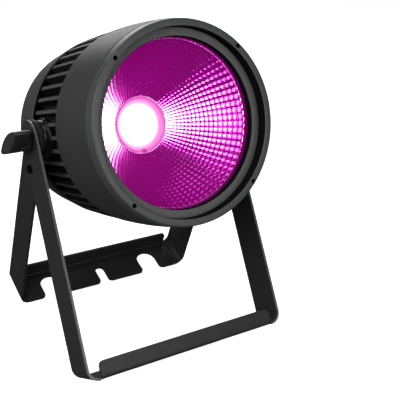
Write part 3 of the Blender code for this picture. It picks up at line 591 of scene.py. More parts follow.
def make_brackets():
    front = bracket("front_bracket_bar", FRONT_HALF, FRONT_DROP, FRONT_FLANGE, -1, FRONT_ARM)
    angle = FOLD_ANGLE / 2
    spot = at(0, LIMIT_RADIUS * sin(angle), -LIMIT_RADIUS * cos(angle))
    cut(front, to_object("limit_hole", rod_mesh(0.0028, THROUGH), FRONT_ARM @ spot @ ALONG_X))
    round_edges(front, 0.0005)
    piece(front, BAR_COAT, "front_bracket", ["front_bracket"])
    front.data.materials.append(EDGE_HIGHLIGHT_COAT)
    to_arm = FRONT_ARM.inverted()
    above_flange = 0.04 - FRONT_DROP           # forward faces that reach higher get the paler coat, a painted highlight on the lit front edge
    for face in front.data.polygons:
        top = max((to_arm @ front.data.vertices[number].co).z for number in face.vertices)
        if (to_arm.to_3x3() @ face.normal).y < -0.6 and top > above_flange:
            face.material_index = 1
    rear = bracket("rear_bracket_bar", REAR_HALF, REAR_DROP, REAR_FLANGE, 1, REAR_ARM)
    slots = outline_mesh(arc_slot_outline(SLOT_REACH, 0.0032), THROUGH)
    cut(rear, to_object("limit_slots", slots, REAR_ARM @ ALONG_X))
    round_edges(rear, 0.0005)
    piece(rear, REAR_SHADED_COAT, "rear_bracket", ["rear_bracket"])
    head_height, head_r, shank_r, shank = 0.0038, 0.0050, 0.0025, -0.0090
    profile = [(0, head_height), (0.0036, head_height, 0.0012), (head_r, 0.0024, 0.0008), (head_r, 0.0),
               (shank_r, 0.0), (shank_r, shank), (0, shank)]
    for side, label in SIDES:
        outward = Matrix.Rotation(side * pi / 2, 4, 'Y')
        place = FRONT_ARM @ spot @ at(side * (FRONT_HALF + GAP), 0, 0) @ outward
        screw = to_object(f"limit_screw_head_{label}", lathe_mesh(profile, 48, 0.0002), place)
        cut(screw, to_object("socket", rod_mesh(0.0017, 0.004, 6), place @ at(0, 0, 0.0040)))
        piece(screw, SCREW_STEEL_SHADED, "front_bracket", [f"limit_screw_{label}"])


# -------- head casting

def shell_radius(z):
    bulge = 0.72 if z > CROWN_Z else 0.21
    return CROWN_R - bulge * (z - CROWN_Z) ** 2


def barrel_side(high, low, steps):
    heights = [high + (low - high) * i / steps for i in range(steps + 1)]
    return [(shell_radius(z), z, 0.0) for z in heights]


def fin_bars():
    """Bars with softened crests and round rear noses, whose front ends lie just under the barrel's skin."""
    front, sunk = FIN_FRONT_Z + 0.0022, 0.0005
    crest_low = FIN_REAR_Z + FIN_NOSE
    nose = arc(crest_low, shell_radius(crest_low) - sunk - FIN_NOSE, FIN_NOSE, 90, 180, 10)[1:]
    root = CORE_R - 0.002
    crest = [(z, r - sunk) for r, z, _ in barrel_side(front, crest_low, 6)]
    outline = [(front, root)] + crest + nose + [(FIN_REAR_Z, root)]
    bars = bmesh.new()
    for number in range(FIN_COUNT):
        turn = turned(2 * pi * number / FIN_COUNT)
        flanks = []
        for x in (-FIN_THICK / 2, FIN_THICK / 2):
            flanks.append([bars.verts.new(turn @ Vector((x, r, z))) for z, r in outline])
        count = len(outline)
        bars.faces.new(flanks[0])
        bars.faces.new(reversed(flanks[1]))
        edges = []
        for i in range(count):
            j = (i + 1) % count
            bars.faces.new((flanks[0][j], flanks[0][i], flanks[1][i], flanks[1][j]))
            if 0 < i < count - 2:
                edges += [bars.edges.get((flank[i], flank[j])) for flank in flanks]
        bmesh.ops.bevel(bars, geom=edges, offset=0.0017, segments=3, profile=0.5, affect='EDGES',
                        clamp_overlap=True)
    bmesh.ops.recalc_face_normals(bars, faces=bars.faces)
    return bars


def make_housing():
    bore = CORE_R - CORE_WALL
    floor = BULKHEAD_Z - BULKHEAD_THICK
    front_bore, front_bore_z, rear_z = 0.1145, 0.050, -0.057
    seat_bore, under_ledge = 0.098, SEAT_Z - 0.004
    profile = ([(0, BULKHEAD_Z), (bore, BULKHEAD_Z), (bore, front_bore_z), (front_bore, front_bore_z),
                (front_bore, under_ledge), (seat_bore, under_ledge), (seat_bore, SEAT_Z), (SEAT_R, SEAT_Z),
                (SEAT_R, SEAM_Z), (shell_radius(SEAM_Z), SEAM_Z, 0.0012)]
               + barrel_side(SEAM_Z - 0.002, FIN_FRONT_Z + 0.003, 16)
               + [(shell_radius(FIN_FRONT_Z), FIN_FRONT_Z, 0.0008), (CORE_R, FIN_FRONT_Z, 0.002),
                  (CORE_R, rear_z), (bore, rear_z), (bore, floor), (0, floor)])
    body = to_object("finned_barrel", lathe_mesh(profile, 192, 0.0003), HEAD)
    join(body, to_object("bars", fin_bars(), HEAD))
    room_r, room_depth, room_middle = 0.0256, 0.023, PAD_X + 0.0105
    pad_r, pad_base = 0.0250, 0.097
    for side, _ in SIDES:
        out = HEAD @ Matrix.Rotation(side * pi / 2, 4, 'Y')
        cut(body, to_object("boss_room", rod_mesh(room_r, room_depth, 96), out @ at(0, 0, room_middle)))
        join(body, to_object("boss_pad", rod_mesh(pad_r, PAD_X - pad_base, 96),
                             out @ at(0, 0, (PAD_X + pad_base) / 2)))
    cut(body, *[in_head("tap", rod_mesh(0.0019, 0.020, 16), x, y, SEAM_Z)
                for x, y in corners(SCREW_R)])
    post_r, post_length, post_middle = 0.004, 0.0577, -0.07885
    join(body, *[in_head("post", rod_mesh(post_r, post_length, 24), x, y, post_middle)
                 for x, y in corners(POST_R)])
    piece(body, CAST_COAT, "head", ["finned_housing"])
    body.data.materials.append(FIN_GAP_SHADE)
    to_head = HEAD.inverted()
    pad_reach, pad_from = pad_r + 0.0004, 0.105
    # painted shade: fin flanks, the core between the fins and faces round the boss pads take the darker coat
    for face in body.data.polygons:
        spot, facing = to_head @ face.center, to_head.to_3x3() @ face.normal
        outward = Vector(spot[:2]).normalized().dot(facing.xy)
        flank = spot.z < FIN_FRONT_Z - 0.001 and abs(outward) < 0.35 and abs(facing.z) < 0.5
        core = spot.z < FIN_FRONT_Z + 0.001 and Vector(spot[:2]).length < CORE_R + 0.003
        pad = Vector(spot[1:]).length < pad_reach and abs(spot.x) > pad_from
        if flank or core or pad:
            face.material_index = 1


def cap_screws(kind, circle_r, z, turn, head_r, length, finish):
    """Four screws with hexagonal sockets, on a circle about the beam."""
    top, shank_r = 0.0022, 0.0015
    profile = [(0, top), (head_r, top, 0.0004), (head_r, 0), (shank_r, 0), (shank_r, -length), (0, -length)]
    for number, (x, y) in enumerate(corners(circle_r), 1):
        place = HEAD @ at(x, y, z) @ turn
        screw = to_object(f"{kind}_screw_head_{number}", lathe_mesh(profile, 32, 0.00015), place)
        cut(screw, to_object("socket", rod_mesh(head_r * 0.55, 0.002, 6), place @ at(0, 0, top)))
        piece(screw, finish, "head", [f"{kind}_screw_{number}"])


def make_bezel():
    spigot_r, spigot_z = SEAT_R - GAP, 0.1136
    profile = [(STEP_R, FRONT_Z, 0.0012), (0.1152, FRONT_Z, 0.0016), (0.1166, SEAM_Z + GAP, 0.0006),
               (spigot_r, SEAM_Z + GAP), (spigot_r, spigot_z), (LEDGE_R, spigot_z, 0.0005),
               (LEDGE_R, STEP_Z, 0.0010), (STEP_R, STEP_Z, 0.0005)]
    ring = to_object("bezel_ring", lathe_mesh(profile, 256, 0.0003, 4), HEAD)
    wells = []
    for x, y in corners(SCREW_R):
        wells.append(in_head("well", rod_mesh(0.0028, 0.008, 32), x, y, FRONT_Z))
        wells.append(in_head("way", rod_mesh(0.0019, 0.030, 24), x, y, FRONT_Z - 0.01))
    cut(ring, *wells)
    piece(ring, BEZEL_COAT, "head", ["front_bezel"])
    ring.data.materials.append(SHADE_COAT)
    ring.data.materials.append(LEDGE_PAINTED_LIGHT)
    to_head = HEAD.inverted()
    well_reach = 0.1145                        # the wells end inside this radius
    for face in ring.data.polygons:
        spot, facing = to_head @ face.center, (to_head.to_3x3() @ face.normal).z
        radius = Vector(spot[:2]).length
        upright = facing < 0.5
        step_wall = upright and STEP_Z < spot.z < FRONT_Z - 0.0014 and radius < STEP_R + 0.0006
        well_wall = upright and SEAM_Z < spot.z < FRONT_Z - 0.0006 and radius < well_reach
        if radius < LEDGE_R + 0.0004 or step_wall:
            face.material_index = 1
        # the ledge gets the paler coat, painted light
        elif radius < STEP_R + 0.0002 and spot.z < STEP_Z + 0.0004:
            face.material_index = 2
        elif well_wall:
            face.material_index = 1
    cap_screws("bezel", SCREW_R, FRONT_Z - 0.0037, Matrix(), 0.0024, 0.016, SCREW_STEEL_SHADED)


def make_rear_cover():
    wall, lip, mouth_r = 0.0025, 0.003, 0.080
    profile = [(COVER_FRONT_R, COVER_FRONT_Z, 0.0010), (COVER_REAR_R, COVER_BACK_Z, 0.0088),
               (mouth_r, COVER_BACK_Z, 0.0006), (mouth_r, COVER_BACK_Z + lip), (0.1015, COVER_BACK_Z + lip),
               (COVER_REAR_R - wall - 0.001, COVER_BACK_Z + 0.008), (COVER_FRONT_R - wall, COVER_FRONT_Z)]
    cover = to_object("rear_shell", lathe_mesh(profile, 192, 0.0003, 6), HEAD)
    cut(cover, *[in_head("hole", rod_mesh(0.0019, 0.02, 24), x, y, COVER_BACK_Z)
                 for x, y in corners(POST_R)])
    piece(cover, COVER_COAT, "head", ["rear_cover"])
    cap_screws("cover", POST_R, COVER_BACK_Z - GAP, BACKWARDS, 0.0033, 0.012, BLACK_STEEL)


# -------- optics

FACET_COLUMNS = 76
FACET_RINGS = 18
FACET_SPLIT = 5                 # mesh divisions across a facet
ACROSS_SLOPE = 0.34             # slope at a facet's edge, round the mirror
ALONG_SLOPE = (0.03, 0.36)      # slope at a facet's edge, along the dish, at the throat and at the rim
RIM_TURN = radians(16)          # facets at the rim lie about this much flatter than the dish
HIGHLIGHT_FADE = 0.85                # share of the facets' painted highlight that is lost on the way to the rim


def dish_point(share):
    """(radius, z) on the mirror at a share of its height, a paraboloid from throat to rim."""
    top = GLASS_Z - GAP - 0.0008
    return sqrt(THROAT_R ** 2 + share * (RIM_R ** 2 - THROAT_R ** 2)), THROAT_Z + share * (top - THROAT_Z)


def ring_share(ring):
    """Rings are even along the mirror's radius, so facets grow with their distance from the throat."""
    radius = THROAT_R + (RIM_R - THROAT_R) * ring / FACET_RINGS
    return (radius ** 2 - THROAT_R ** 2) / (RIM_R ** 2 - THROAT_R ** 2)


def facet_rise(step):
    """Height of a unit pillow and its nearness to the middle, at a mesh step across a facet."""
    offset = 2 * (step % FACET_SPLIT) / FACET_SPLIT - 1
    return 1 - offset ** 2


def facet_rows():
    """Mesh rows from throat to rim, as (radius, z, slope angle, half length of the facet, step in it)."""
    rows = []
    for ring in range(FACET_RINGS):
        (low_r, low_z), (high_r, high_z) = dish_point(ring_share(ring)), dish_point(ring_share(ring + 1))
        angle = atan2(high_z - low_z, high_r - low_r) - RIM_TURN * (ring + 0.5) / FACET_RINGS
        length = (high_r - low_r) / cos(angle)
        for step in range(FACET_SPLIT + 1):
            part = length * step / FACET_SPLIT
            rows.append((low_r + part * cos(angle), low_z + part * sin(angle), angle, length / 2, step))
    return rows + [(*dish_point(1.0), rows[-1][2], rows[-1][3], 0)]


def make_reflector():
    """Stepped rings of pillow-shaped facets, a rolled rim, and a plain back."""
    columns = FACET_COLUMNS * FACET_SPLIT
    bm = bmesh.new()
    middle = bm.verts.layers.float.new(FACET_HIGHLIGHT)
    grid = []
    for radius, z, angle, half_along, step in facet_rows():
        half_across = pi * radius / FACET_COLUMNS
        share = (radius - THROAT_R) / (RIM_R - THROAT_R)
        along_slope = ALONG_SLOPE[0] + (ALONG_SLOPE[1] - ALONG_SLOPE[0]) * share ** 2
        line = []
        for column in range(columns):
            along, across = facet_rise(step), facet_rise(column)
            lift = (along_slope * half_along * along + ACROSS_SLOPE * half_across * across) / 2
            r, height = radius - lift * sin(angle), z + lift * cos(angle)
            turn = 2 * pi * column / columns
            line.append(bm.verts.new((r * cos(turn), r * sin(turn), height)))
            # painted highlight: high down each facet column's middle, fading towards the rim
            line[-1][middle] = across * (1 - HIGHLIGHT_FADE * share)
        grid.append(line)
    rim = [(0.0966, 0.1084), (0.0972, 0.1086), (0.1030, 0.1086), (0.1030, 0.1073), (0.0978, 0.1073),
           (0.0978, 0.1015)]
    back = [(dish_point(share)[0] + 0.0035, dish_point(share)[1] - 0.0004) for share in (0.75, 0.5, 0.25)]
    for radius, z in rim + back + [(THROAT_R + 0.0032, THROAT_Z), (THROAT_R, THROAT_Z)]:
        grid.append([bm.verts.new((radius * cos(2 * pi * k / columns), radius * sin(2 * pi * k / columns), z))
                     for k in range(columns)])
    for low, high in zip(grid, grid[1:] + grid[:1]):
        for k in range(columns):
            following = (k + 1) % columns
            bm.faces.new((low[k], low[following], high[following], high[k]))
    bmesh.ops.recalc_face_normals(bm, faces=bm.faces)
    dish = to_object("faceted_reflector", bm, HEAD)
    lit = [piece(dish, MIRROR, "head", ["reflector"], 12)]
    wire = 0.0004
    for name, radius, z in (("reflector_throat_bead", THROAT_R, THROAT_Z + 0.0006),
                            ("reflector_rim_bead", RIM_R + 0.0001, 0.1081)):
        bead = [(radius + wire, z), (radius, z + wire), (radius - wire, z), (radius, z - wire)]
        ring = to_object(name, lathe_mesh(bead, 256, 0.0004), HEAD)
        lit.append(piece(ring, BEAD_PAINTED_PINK, "head", (), 60))
    return lit


def make_optics():
    """Glass, emitter and holder. The emitter's own light falls on the mirror alone."""
    receivers = bpy.data.collections.new(MIRROR_ONLY)
    for thing in make_reflector():
        receivers.objects.link(thing)
    glass_r, glass_front = 0.1020, GLASS_Z + 0.003
    glass = [(0, glass_front), (glass_r, glass_front, 0.0006), (glass_r, GLASS_Z, 0.0006), (0, GLASS_Z)]
    piece(to_object("glass_pane", lathe_mesh(glass, 128, 0), HEAD), GLASS, "head",
          ["front_glass"])
    seat = BULKHEAD_Z + 0.0035
    holder = [(0.0358, THROAT_Z - GAP), (0.039, THROAT_Z - 0.0014), (0.039, seat + GAP), (0.031, seat + GAP),
              (0.031, THROAT_Z - 0.0024), (0.0325, THROAT_Z - 0.0012), (0.0335, THROAT_Z - GAP)]
    ring = to_object("emitter_holder", lathe_mesh(holder, 128, 0.0004), HEAD)
    cut(ring, in_head("wire_notch", box_mesh((0.0066, 0.012, 0.02)), 0.001, -0.0345, THROAT_Z))
    piece(ring, CERAMIC_PAINTED_GLOW, "head", ["cob_holder"])
    emitter = [(0, seat + 0.0025), (0.0255, seat + 0.0025, 0.0010), (0.0265, seat + 0.0012, 0.0005),
               (0.0265, seat), (0, seat)]
    dome = to_object("emitter_dome", lathe_mesh(emitter, 96, 0.0002), HEAD)
    dome.light_linking.receiver_collection = receivers
    piece(dome, GLOW, "head", ["cob_emitter"])
    tab = in_head("emitter_tab", box_mesh((0.0060, 0.0044, 0.0024)), 0.001, -0.0326, THROAT_Z - 0.0016)
    piece(round_edges(tab, 0.0005), TAB_PAINTED_GLOW, "head")


# -------- rear panel

DISPLAY_Y, IR_Y, FUSE_Y, BUTTON_Y = 0.045, 0.068, -0.018, 0.018
BUTTON_X = (-0.027, -0.009, 0.009, 0.027)
DMX_SPOTS = ((-0.052, -0.008), (0.052, -0.008))
POWER_SPOTS = ((-0.026, -0.045), (0.026, -0.045))
SOCKET_Z = PANEL_Z - GAP
SOCKET_RIM_Z = SOCKET_Z - 0.006
PLATE_THICK = 0.0016
DRIVER_Z, CONTROL_Z, BOARD_HALF = -0.060, -0.093, 0.0008
RIB_COUNT = 20


def panel_stud(radius, x, y, board_z):
    root, tip = PANEL_Z + 0.0010, board_z - BOARD_HALF - GAP
    return in_head("stud", rod_mesh(radius, tip - root, 24), x, y, (root + tip) / 2)


def make_rear_panel():
    """Disc with a raised rim, a frame round the display, shallow dishes round the buttons, and studs."""
    inside, rim_z = PANEL_Z + 0.0025, PANEL_Z - 0.0006
    profile = [(0, inside), (PANEL_R, inside, 0.0004), (PANEL_R, rim_z, 0.0005),
               (PANEL_R - 0.0025, rim_z, 0.0005), (PANEL_R - 0.0031, PANEL_Z, 0.0004), (0, PANEL_Z)]
    panel = to_object("rear_plate", lathe_mesh(profile, 192, 0), HEAD)
    frame_plate = outline_mesh(rounded_box(0.060, 0.028, 0.004), 0.0016)
    join(panel, in_head("display_frame", frame_plate, 0, DISPLAY_Y, PANEL_Z),
         *[panel_stud(0.003, x, y, DRIVER_Z) for x in (-0.048, 0.048) for y in (-0.033, 0.033)],
         *[panel_stud(0.002, x, y, CONTROL_Z) for x in (-0.032, 0.032) for y in (0.002, 0.060)])
    opening = outline_mesh(rounded_box(0.0526, 0.0206, 0.0013), 0.01)
    tools = [in_head("display_opening", opening, 0, DISPLAY_Y, PANEL_Z)]
    dish = [(0, 0.003), (0.0049, 0.003), (0.0049, -0.0002), (0.0072, -0.0012), (0, -0.0012)]
    for x in BUTTON_X:
        tools.append(in_head("button_dish", lathe_mesh(dish, 48, 0), x, BUTTON_Y, PANEL_Z + 0.0006))
    holes = ((0.0120, DMX_SPOTS + POWER_SPOTS), (0.0063, [(0, FUSE_Y)]), (0.0033, [(0, IR_Y)]))
    for radius, spots in holes:
        tools += [in_head("hole", rod_mesh(radius, 0.02, 64), x, y, PANEL_Z) for x, y in spots]
    cut(panel, *tools)
    piece(panel, PANEL_COAT, "head", ["rear_panel"])
    pane = outline_mesh(rounded_box(0.052, 0.020, 0.001), 0.0030)
    window = in_head("display_lens", pane, 0, DISPLAY_Y, PANEL_Z + 0.0010)
    piece(round_edges(window, 0.0003), WINDOW, "head", ["display_window"])
    dome = [(0, 0.0018), (0.0014, 0.0016, 0.0008), (0.0029, 0), (0.0029, -0.004), (0, -0.004)]
    piece(to_object("remote_eye", lathe_mesh(dome, 48, 0.0002, 5), HEAD @ at(0, IR_Y, PANEL_Z) @ BACKWARDS),
          WINDOW, "head", ["ir_window"])


def make_fuse_cap():
    """Screw cap with grip ribs and a coin slot."""
    place = HEAD @ at(0, FUSE_Y, PANEL_Z) @ BACKWARDS
    height, neck_r, neck_end = 0.0085, 0.0058, -0.022
    profile = [(0, height), (0.0062, height, 0.0008), (0.0070, GAP, 0.0003), (neck_r, GAP),
               (neck_r, neck_end), (0, neck_end)]
    cap = to_object("fuse_holder_cap", lathe_mesh(profile, 96, 0.0003), place)
    ribs = []
    for number in range(RIB_COUNT):
        where = place @ turned(2 * pi * number / RIB_COUNT) @ at(0.0066, 0, 0.0040)
        ribs.append(to_object("rib", rod_mesh(0.00055, 0.0060, 12), where))
    join(cap, *ribs)
    cut(cap, to_object("coin_slot", box_mesh((0.0090, 0.0014, 0.003)), place @ at(0, 0, height)))
    piece(cap, BLACK_PLASTIC, "head", ["fuse_cap"])


def make_buttons():
    """Softly dished caps on stepped stems."""
    profile = [(0, 0.0027), (0.0025, 0.0028, 0.0008), (0.0040, 0.0030, 0.0005), (0.0044, 0.0024, 0.0003),
               (0.0044, -0.0029), (0.0062, -0.0029), (0.0062, -0.0042), (0.0020, -0.0042), (0.0020, -0.0118),
               (0, -0.0118)]
    for number, x in enumerate(BUTTON_X, 1):
        place = HEAD @ at(x, BUTTON_Y, PANEL_Z) @ BACKWARDS
        piece(to_object(f"menu_key_{number}", lathe_mesh(profile, 64, 0.0002), place), GREY_PLASTIC,
              f"menu_button_{number}", [f"menu_button_{number}"])


def socket_shell(name, spot, bore, floor, lobe):
    """A panel connector: rounded plate, a round body through it, an open bore and two key ways."""
    x, y = spot
    plate = outline_mesh(rounded_box(0.026, 0.031, 0.003), PLATE_THICK)
    shell = in_head(name, plate, x, y, SOCKET_Z - PLATE_THICK / 2)
    round_edges(shell, 0.0004, 2, 60)
    body_r, body_end = 0.0116, SOCKET_RIM_Z + 0.030
    filled = [(0, SOCKET_RIM_Z), (body_r, SOCKET_RIM_Z, 0.0008), (body_r, body_end), (0, body_end)]
    join(shell, in_head("body", lathe_mesh(filled, 96, 0), x, y, 0))
    mouth = SOCKET_RIM_Z - 0.002
    tools = [in_head("bore", rod_mesh(bore, floor - mouth, 96), x, y, (mouth + floor) / 2)]
    for turn in (-1, 1):
        tools.append(to_object("key_way", box_mesh((0.0022, lobe, 0.010)),
                               HEAD @ at(x, y, SOCKET_RIM_Z) @ turned(turn * radians(45))))
    screws = [(x + side * 0.0095, y + side * 0.0120) for side in (-1, 1)]
    tools += [in_head("screw_way", rod_mesh(0.0013, 0.006, 24), *place, SOCKET_Z) for place in screws]
    cut(shell, *tools)
    profile = [(0, 0.0009), (0.0014, 0.0009, 0.0004), (0.0020, 0.0001, 0.0001), (0.0020, 0), (0.0011, 0),
               (0.0011, -PLATE_THICK), (0, -PLATE_THICK)]
    for number, place in enumerate(screws, 1):
        where = HEAD @ at(*place, SOCKET_Z - PLATE_THICK) @ BACKWARDS
        screw = to_object(f"{name}_screw_{number}", lathe_mesh(profile, 40, 0.0001), where)
        for angle in (0, 90):
            slot_place = where @ at(0, 0, 0.0009) @ turned(radians(angle + 20))
            cut(screw, to_object("cross", box_mesh((0.0020, 0.0004, 0.0008)), slot_place))
        piece(screw, BLACK_STEEL, "head")
    return shell


def contacts(spot):
    """Three contact places on a circle in a DMX socket."""
    circle_r = 0.0045
    angles = [radians(210 + 60 * number) for number in range(3)]
    return [(spot[0] + circle_r * cos(angle), spot[1] + circle_r * sin(angle)) for angle in angles]


def make_sockets():
    deep = SOCKET_Z + 0.012
    male = socket_shell("dmx_in_shell", DMX_SPOTS[0], 0.0085, deep, 0.018)
    piece(male, BLACK_PLASTIC, "head", ["dmx_in_socket"])
    pin_r, tip, root = 0.0012, -0.0065, 0.0068
    pin = [(0, tip), (0.0006, tip, 0.0003), (pin_r, -0.0055, 0.0004), (pin_r, root), (0, root)]
    for number, (x, y) in enumerate(contacts(DMX_SPOTS[0]), 1):
        contact = in_head(f"dmx_pin_{number}", lathe_mesh(pin, 32, 0.0001), x, y, SOCKET_Z + 0.0050)
        piece(contact, BRASS, "head")
    female = socket_shell("dmx_out_shell", DMX_SPOTS[1], 0.0098, SOCKET_Z, 0.0001)
    cut(female, *[in_head("way", rod_mesh(0.0014, 0.020, 32), x, y, SOCKET_Z)
                  for x, y in contacts(DMX_SPOTS[1])])
    piece(female, BLACK_PLASTIC, "head", ["dmx_out_socket"])
    for label, spot, finish, slot in (("in", POWER_SPOTS[0], BLUE_PLASTIC, "blue_plastic"),
                                      ("out", POWER_SPOTS[1], GREY_PLASTIC, "grey_plastic")):
        power = socket_shell(f"power_{label}_shell", spot, 0.0098, deep, 0.021)
        core = [(0, SOCKET_Z), (0.0050, SOCKET_Z, 0.0005), (0.0058, SOCKET_Z + 0.0010, 0.0003),
                (0.0058, SOCKET_Z + 0.0130), (0, SOCKET_Z + 0.0130)]
        join(power, in_head("core", lathe_mesh(core, 64, 0), *spot, 0))
        ways = [turned(2 * pi * number / 3) @ at(0.0032, 0, 0) for number in range(3)]
        cut(power, *[to_object("way", box_mesh((0.0011, 0.0032, 0.008)), HEAD @ at(*spot, SOCKET_Z) @ way)
                     for way in ways])
        piece(power, finish, "head", [f"power_{label}_socket"])


def make_safety_eye():
    """A bent steel rod on two round feet."""
    place = HEAD @ at(0, -0.090, COVER_BACK_Z - GAP) @ BACKWARDS
    half, wire = 0.011, 0.0025
    route = [(-half, 0.0)] + [(x, 0.010 + z) for x, z in arc(0, 0, half, 180, 0, 32)] + [(half, 0.0)]
    sides = 24
    bm = bmesh.new()
    loops = []
    for i, (x, z) in enumerate(route):
        ahead = Vector(route[min(i + 1, len(route) - 1)]) - Vector(route[max(i - 1, 0)])
        normal = Vector((-ahead.y, ahead.x)).normalized()
        ring = []
        for k in range(sides):
            angle = 2 * pi * k / sides
            out = normal * wire * cos(angle)
            ring.append(bm.verts.new((x + out.x, wire * sin(angle), z + out.y)))
        loops.append(ring)
    for low, high in zip(loops, loops[1:]):
        for k in range(sides):
            bm.faces.new((low[k], low[(k + 1) % sides], high[(k + 1) % sides], high[k]))
    bm.faces.new(loops[0])
    bm.faces.new(loops[-1])
    bmesh.ops.recalc_face_normals(bm, faces=bm.faces)
    eye = to_object("safety_loop", bm, place)
    for side in (-1, 1):
        foot = [(0, 0.0012), (0.0040, 0.0012, 0.0005), (0.0040, 0), (0, 0)]
        join(eye, to_object("foot", lathe_mesh(foot, 48, 0.0001), place @ at(side * half, 0, 0)))
    piece(eye, BLACK_STEEL, "head", ["safety_eye"])


# -------- pivots and knobs

def wing_outline():
    """A slim leaf: two shallow arcs that meet in rounded tips."""
    half_width = WING_WIDTH / 2
    tip = 0.0030
    reach, bow = WING_HALF - tip, half_width - tip
    radius = (reach ** 2 + bow ** 2) / (2 * bow) + tip
    spread_angle = degrees(atan2(reach, radius - tip - bow))
    upper = arc(0, half_width - radius, radius, 90 - spread_angle, 90 + spread_angle, 20)
    left = arc(-reach, 0, tip, 90 + spread_angle, 270 - spread_angle, 10)[1:-1]
    return upper + left + [(-x, -y) for x, y in upper] + [(-x, -y) for x, y in left]


def make_pivots():
    bore = STUD_R + 0.0005
    for side, label in SIDES:
        out = sideways(side)

        def ring(name, profile, finish, body, slot, node):
            piece(to_object(f"{name}_{label}", lathe_mesh(profile, 96, 0.0004), out), finish, body,
                  [f"{node}_{label}"])

        def washer(outer, low, high):
            return [(outer, high), (outer, low), (bore, low), (bore, high)]

        ring("pivot_boss", [(0.0222, BOSS_X, 0.0020), (0.0222, 0.1185, 0.0006), (0.0244, 0.1185, 0.0012),
                            (0.0244, PAD_X + GAP), (bore, PAD_X + GAP), (bore, BOSS_X)],
             BOSS_PLASTIC, "head", "black_coat", "tilt_boss")
        ring("friction_disc", washer(0.0220, BOSS_X + GAP, REAR_HALF - BAR_THICK - GAP), RUBBER, "head",
             "black_rubber", "friction_washer")
        ring("spacer_disc", washer(0.0180, REAR_HALF + GAP, FRONT_HALF - BAR_THICK - GAP), BLACK_PLASTIC,
             "rear_bracket", "black_plastic", "spacer_washer")
        ring("knob_disc", washer(0.0140, FRONT_HALF + GAP, FRONT_HALF + 0.0017), BLACK_STEEL,
             "front_bracket", "black_steel", "knob_washer")
        hub_r, hub_base, hub_face = 0.0125, FRONT_HALF + 0.0020, FRONT_HALF + 0.0130
        hub = [(0, hub_face), (0.0112, hub_face, 0.0015), (hub_r, FRONT_HALF + 0.0080),
               (hub_r, hub_base, 0.0008), (0, hub_base)]
        knob = to_object(f"wing_knob_{label}", lathe_mesh(hub, 64, 0.0004), out)
        facing = (Matrix.Rotation(WING_ANGLE, 4, 'X') @ Matrix.Rotation(pi / 2, 4, 'X')
                  @ Matrix.Rotation(pi / 2, 4, 'Y'))
        wing = to_object("wing", outline_mesh(wing_outline(), KNOB_RISE - WING_GAP),
                         AXLE @ at(side * (FRONT_HALF + (KNOB_RISE + WING_GAP) / 2), 0, 0) @ facing)
        round_edges(wing, 0.0012, 3, 60)
        join(knob, wing)
        cut(knob, to_object("stud_socket", rod_mesh(STUD_R + GAP, 0.024, 32),
                            out @ at(0, 0, hub_face - 0.0115)))
        piece(knob, KNOB_PLASTIC, f"knob_{label}", [f"tilt_knob_{label}"])
        low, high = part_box(f"knob_stud_{label}")
        inner, outer = sorted((abs(low.x), abs(high.x)))
        stud = [(0, outer), (STUD_R, outer, 0.0006), (STUD_R, inner, 0.0006), (0, inner)]
        ring("stud", stud, ZINC, f"knob_{label}", "zinc_steel", "knob_stud")


# -------- surroundings

def area_light(name, place, aim, size, power, receivers=None):
    """A softbox. With receivers it lights only the objects in that collection."""
    data = bpy.data.lights.new(name, 'AREA')
    data.shape = 'RECTANGLE'
    data.size, data.size_y = size
    data.energy = power
    light = bpy.data.objects.new(name, data)
    bpy.context.scene.collection.objects.link(light)
    light.location = place
    light.rotation_euler = (Vector(aim) - Vector(place)).to_track_quat('-Z', 'Y').to_euler()
    light.light_linking.receiver_collection = receivers


def studio_world():
    """Soft light, stronger from above than from below. To the camera it's plain white."""
    world = bpy.data.worlds.new("studio")
    world.use_nodes = True
    tree = world.node_tree
    place = tree.nodes.new("ShaderNodeTexCoord")
    split = tree.nodes.new("ShaderNodeSeparateXYZ")
    tree.links.new(place.outputs["Generated"], split.inputs["Vector"])
    level = spread(tree, split.outputs["Z"], 0.07, 0.12, -0.25, 0.60)
    rays = tree.nodes.new("ShaderNodeLightPath")
    brighter = tree.nodes.new("ShaderNodeMath")
    brighter.operation = 'MAXIMUM'
    tree.links.new(level, brighter.inputs[0])
    tree.links.new(rays.outputs["Is Camera Ray"], brighter.inputs[1])
    tree.links.new(brighter.outputs["Value"], tree.nodes["Background"].inputs["Strength"])
    tree.nodes["Background"].inputs["Color"].default_value = (1.0, 1.0, 1.0, 1.0)
    bpy.context.scene.world = world


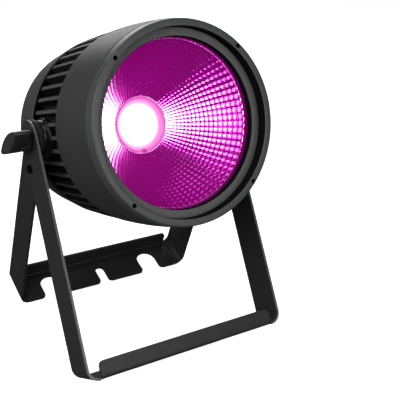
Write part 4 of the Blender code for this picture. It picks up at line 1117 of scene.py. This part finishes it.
def make_studio():
    mat, tree, shader = new_material("studio_floor")
    tree.links.new(blend_colors(tree, noise(tree, 8.0), (0.84, 0.84, 0.84), (0.88, 0.88, 0.88)),
                   shader.inputs["Base Color"])
    shader.inputs["Roughness"].default_value = 0.9
    shader.inputs["Emission Color"].default_value = (1.0, 1.0, 1.0, 1.0)
    shader.inputs["Emission Strength"].default_value = 0.82
    bm = bmesh.new()
    bmesh.ops.create_grid(bm, x_segments=8, y_segments=8, size=12.0)
    floor = to_object("floor", bm, at(0, 0, -0.0005))
    floor.data.materials.append(mat)
    floor.visible_diffuse = False
    floor.visible_glossy = False
    studio_world()
    area_light("key", (-1.5, -1.7, 1.4), (0, 0, 0.25), (1.0, 1.4), 34)
    area_light("front", (0.5, -2.2, 0.7), (0, 0, 0.25), (1.0, 1.0), 16)
    area_light("side", (-2.2, 0.4, 1.0), (0, 0, 0.25), (1.4, 1.4), 30)
    area_light("top", (-0.3, -0.2, 2.4), (0, 0, 0.2), (1.6, 1.6), 12)
    area_light("back", (0.8, 2.0, 1.2), (0, 0, 0.2), (1.6, 1.2), 22)
    # The photo's bright band of facets. Linked to the mirror, so that it doesn't bleach the black parts.
    area_light("streaks", HEAD @ Vector((-1.886, 0.0, 1.309)), HEAD.translation, (1.9, 2.1), 360,
               bpy.data.collections[MIRROR_ONLY])
    bpy.context.scene.view_settings.view_transform = 'Standard'


CARRIED = {"glass_gasket": RUBBER, "cob_board": CERAMIC_PAINTED_GLOW, "fan_frame": BLACK_PLASTIC,
           "fan_rotor": BLACK_PLASTIC, "driver_board": BOARD, "control_board": BOARD,
           "display_module": GREY_PLASTIC}


def dress_carried():
    """Finishes for the inner parts that keep their CAD mesh."""
    for node, finish in CARRIED.items():
        data = frame["nodes"][node].data
        data.materials.clear()
        data.materials.append(finish)


make_brackets()
make_housing()
make_bezel()
make_rear_cover()
make_optics()
make_rear_panel()
make_fuse_cap()
make_buttons()
make_sockets()
make_safety_eye()
make_pivots()
dress_carried()
make_studio()
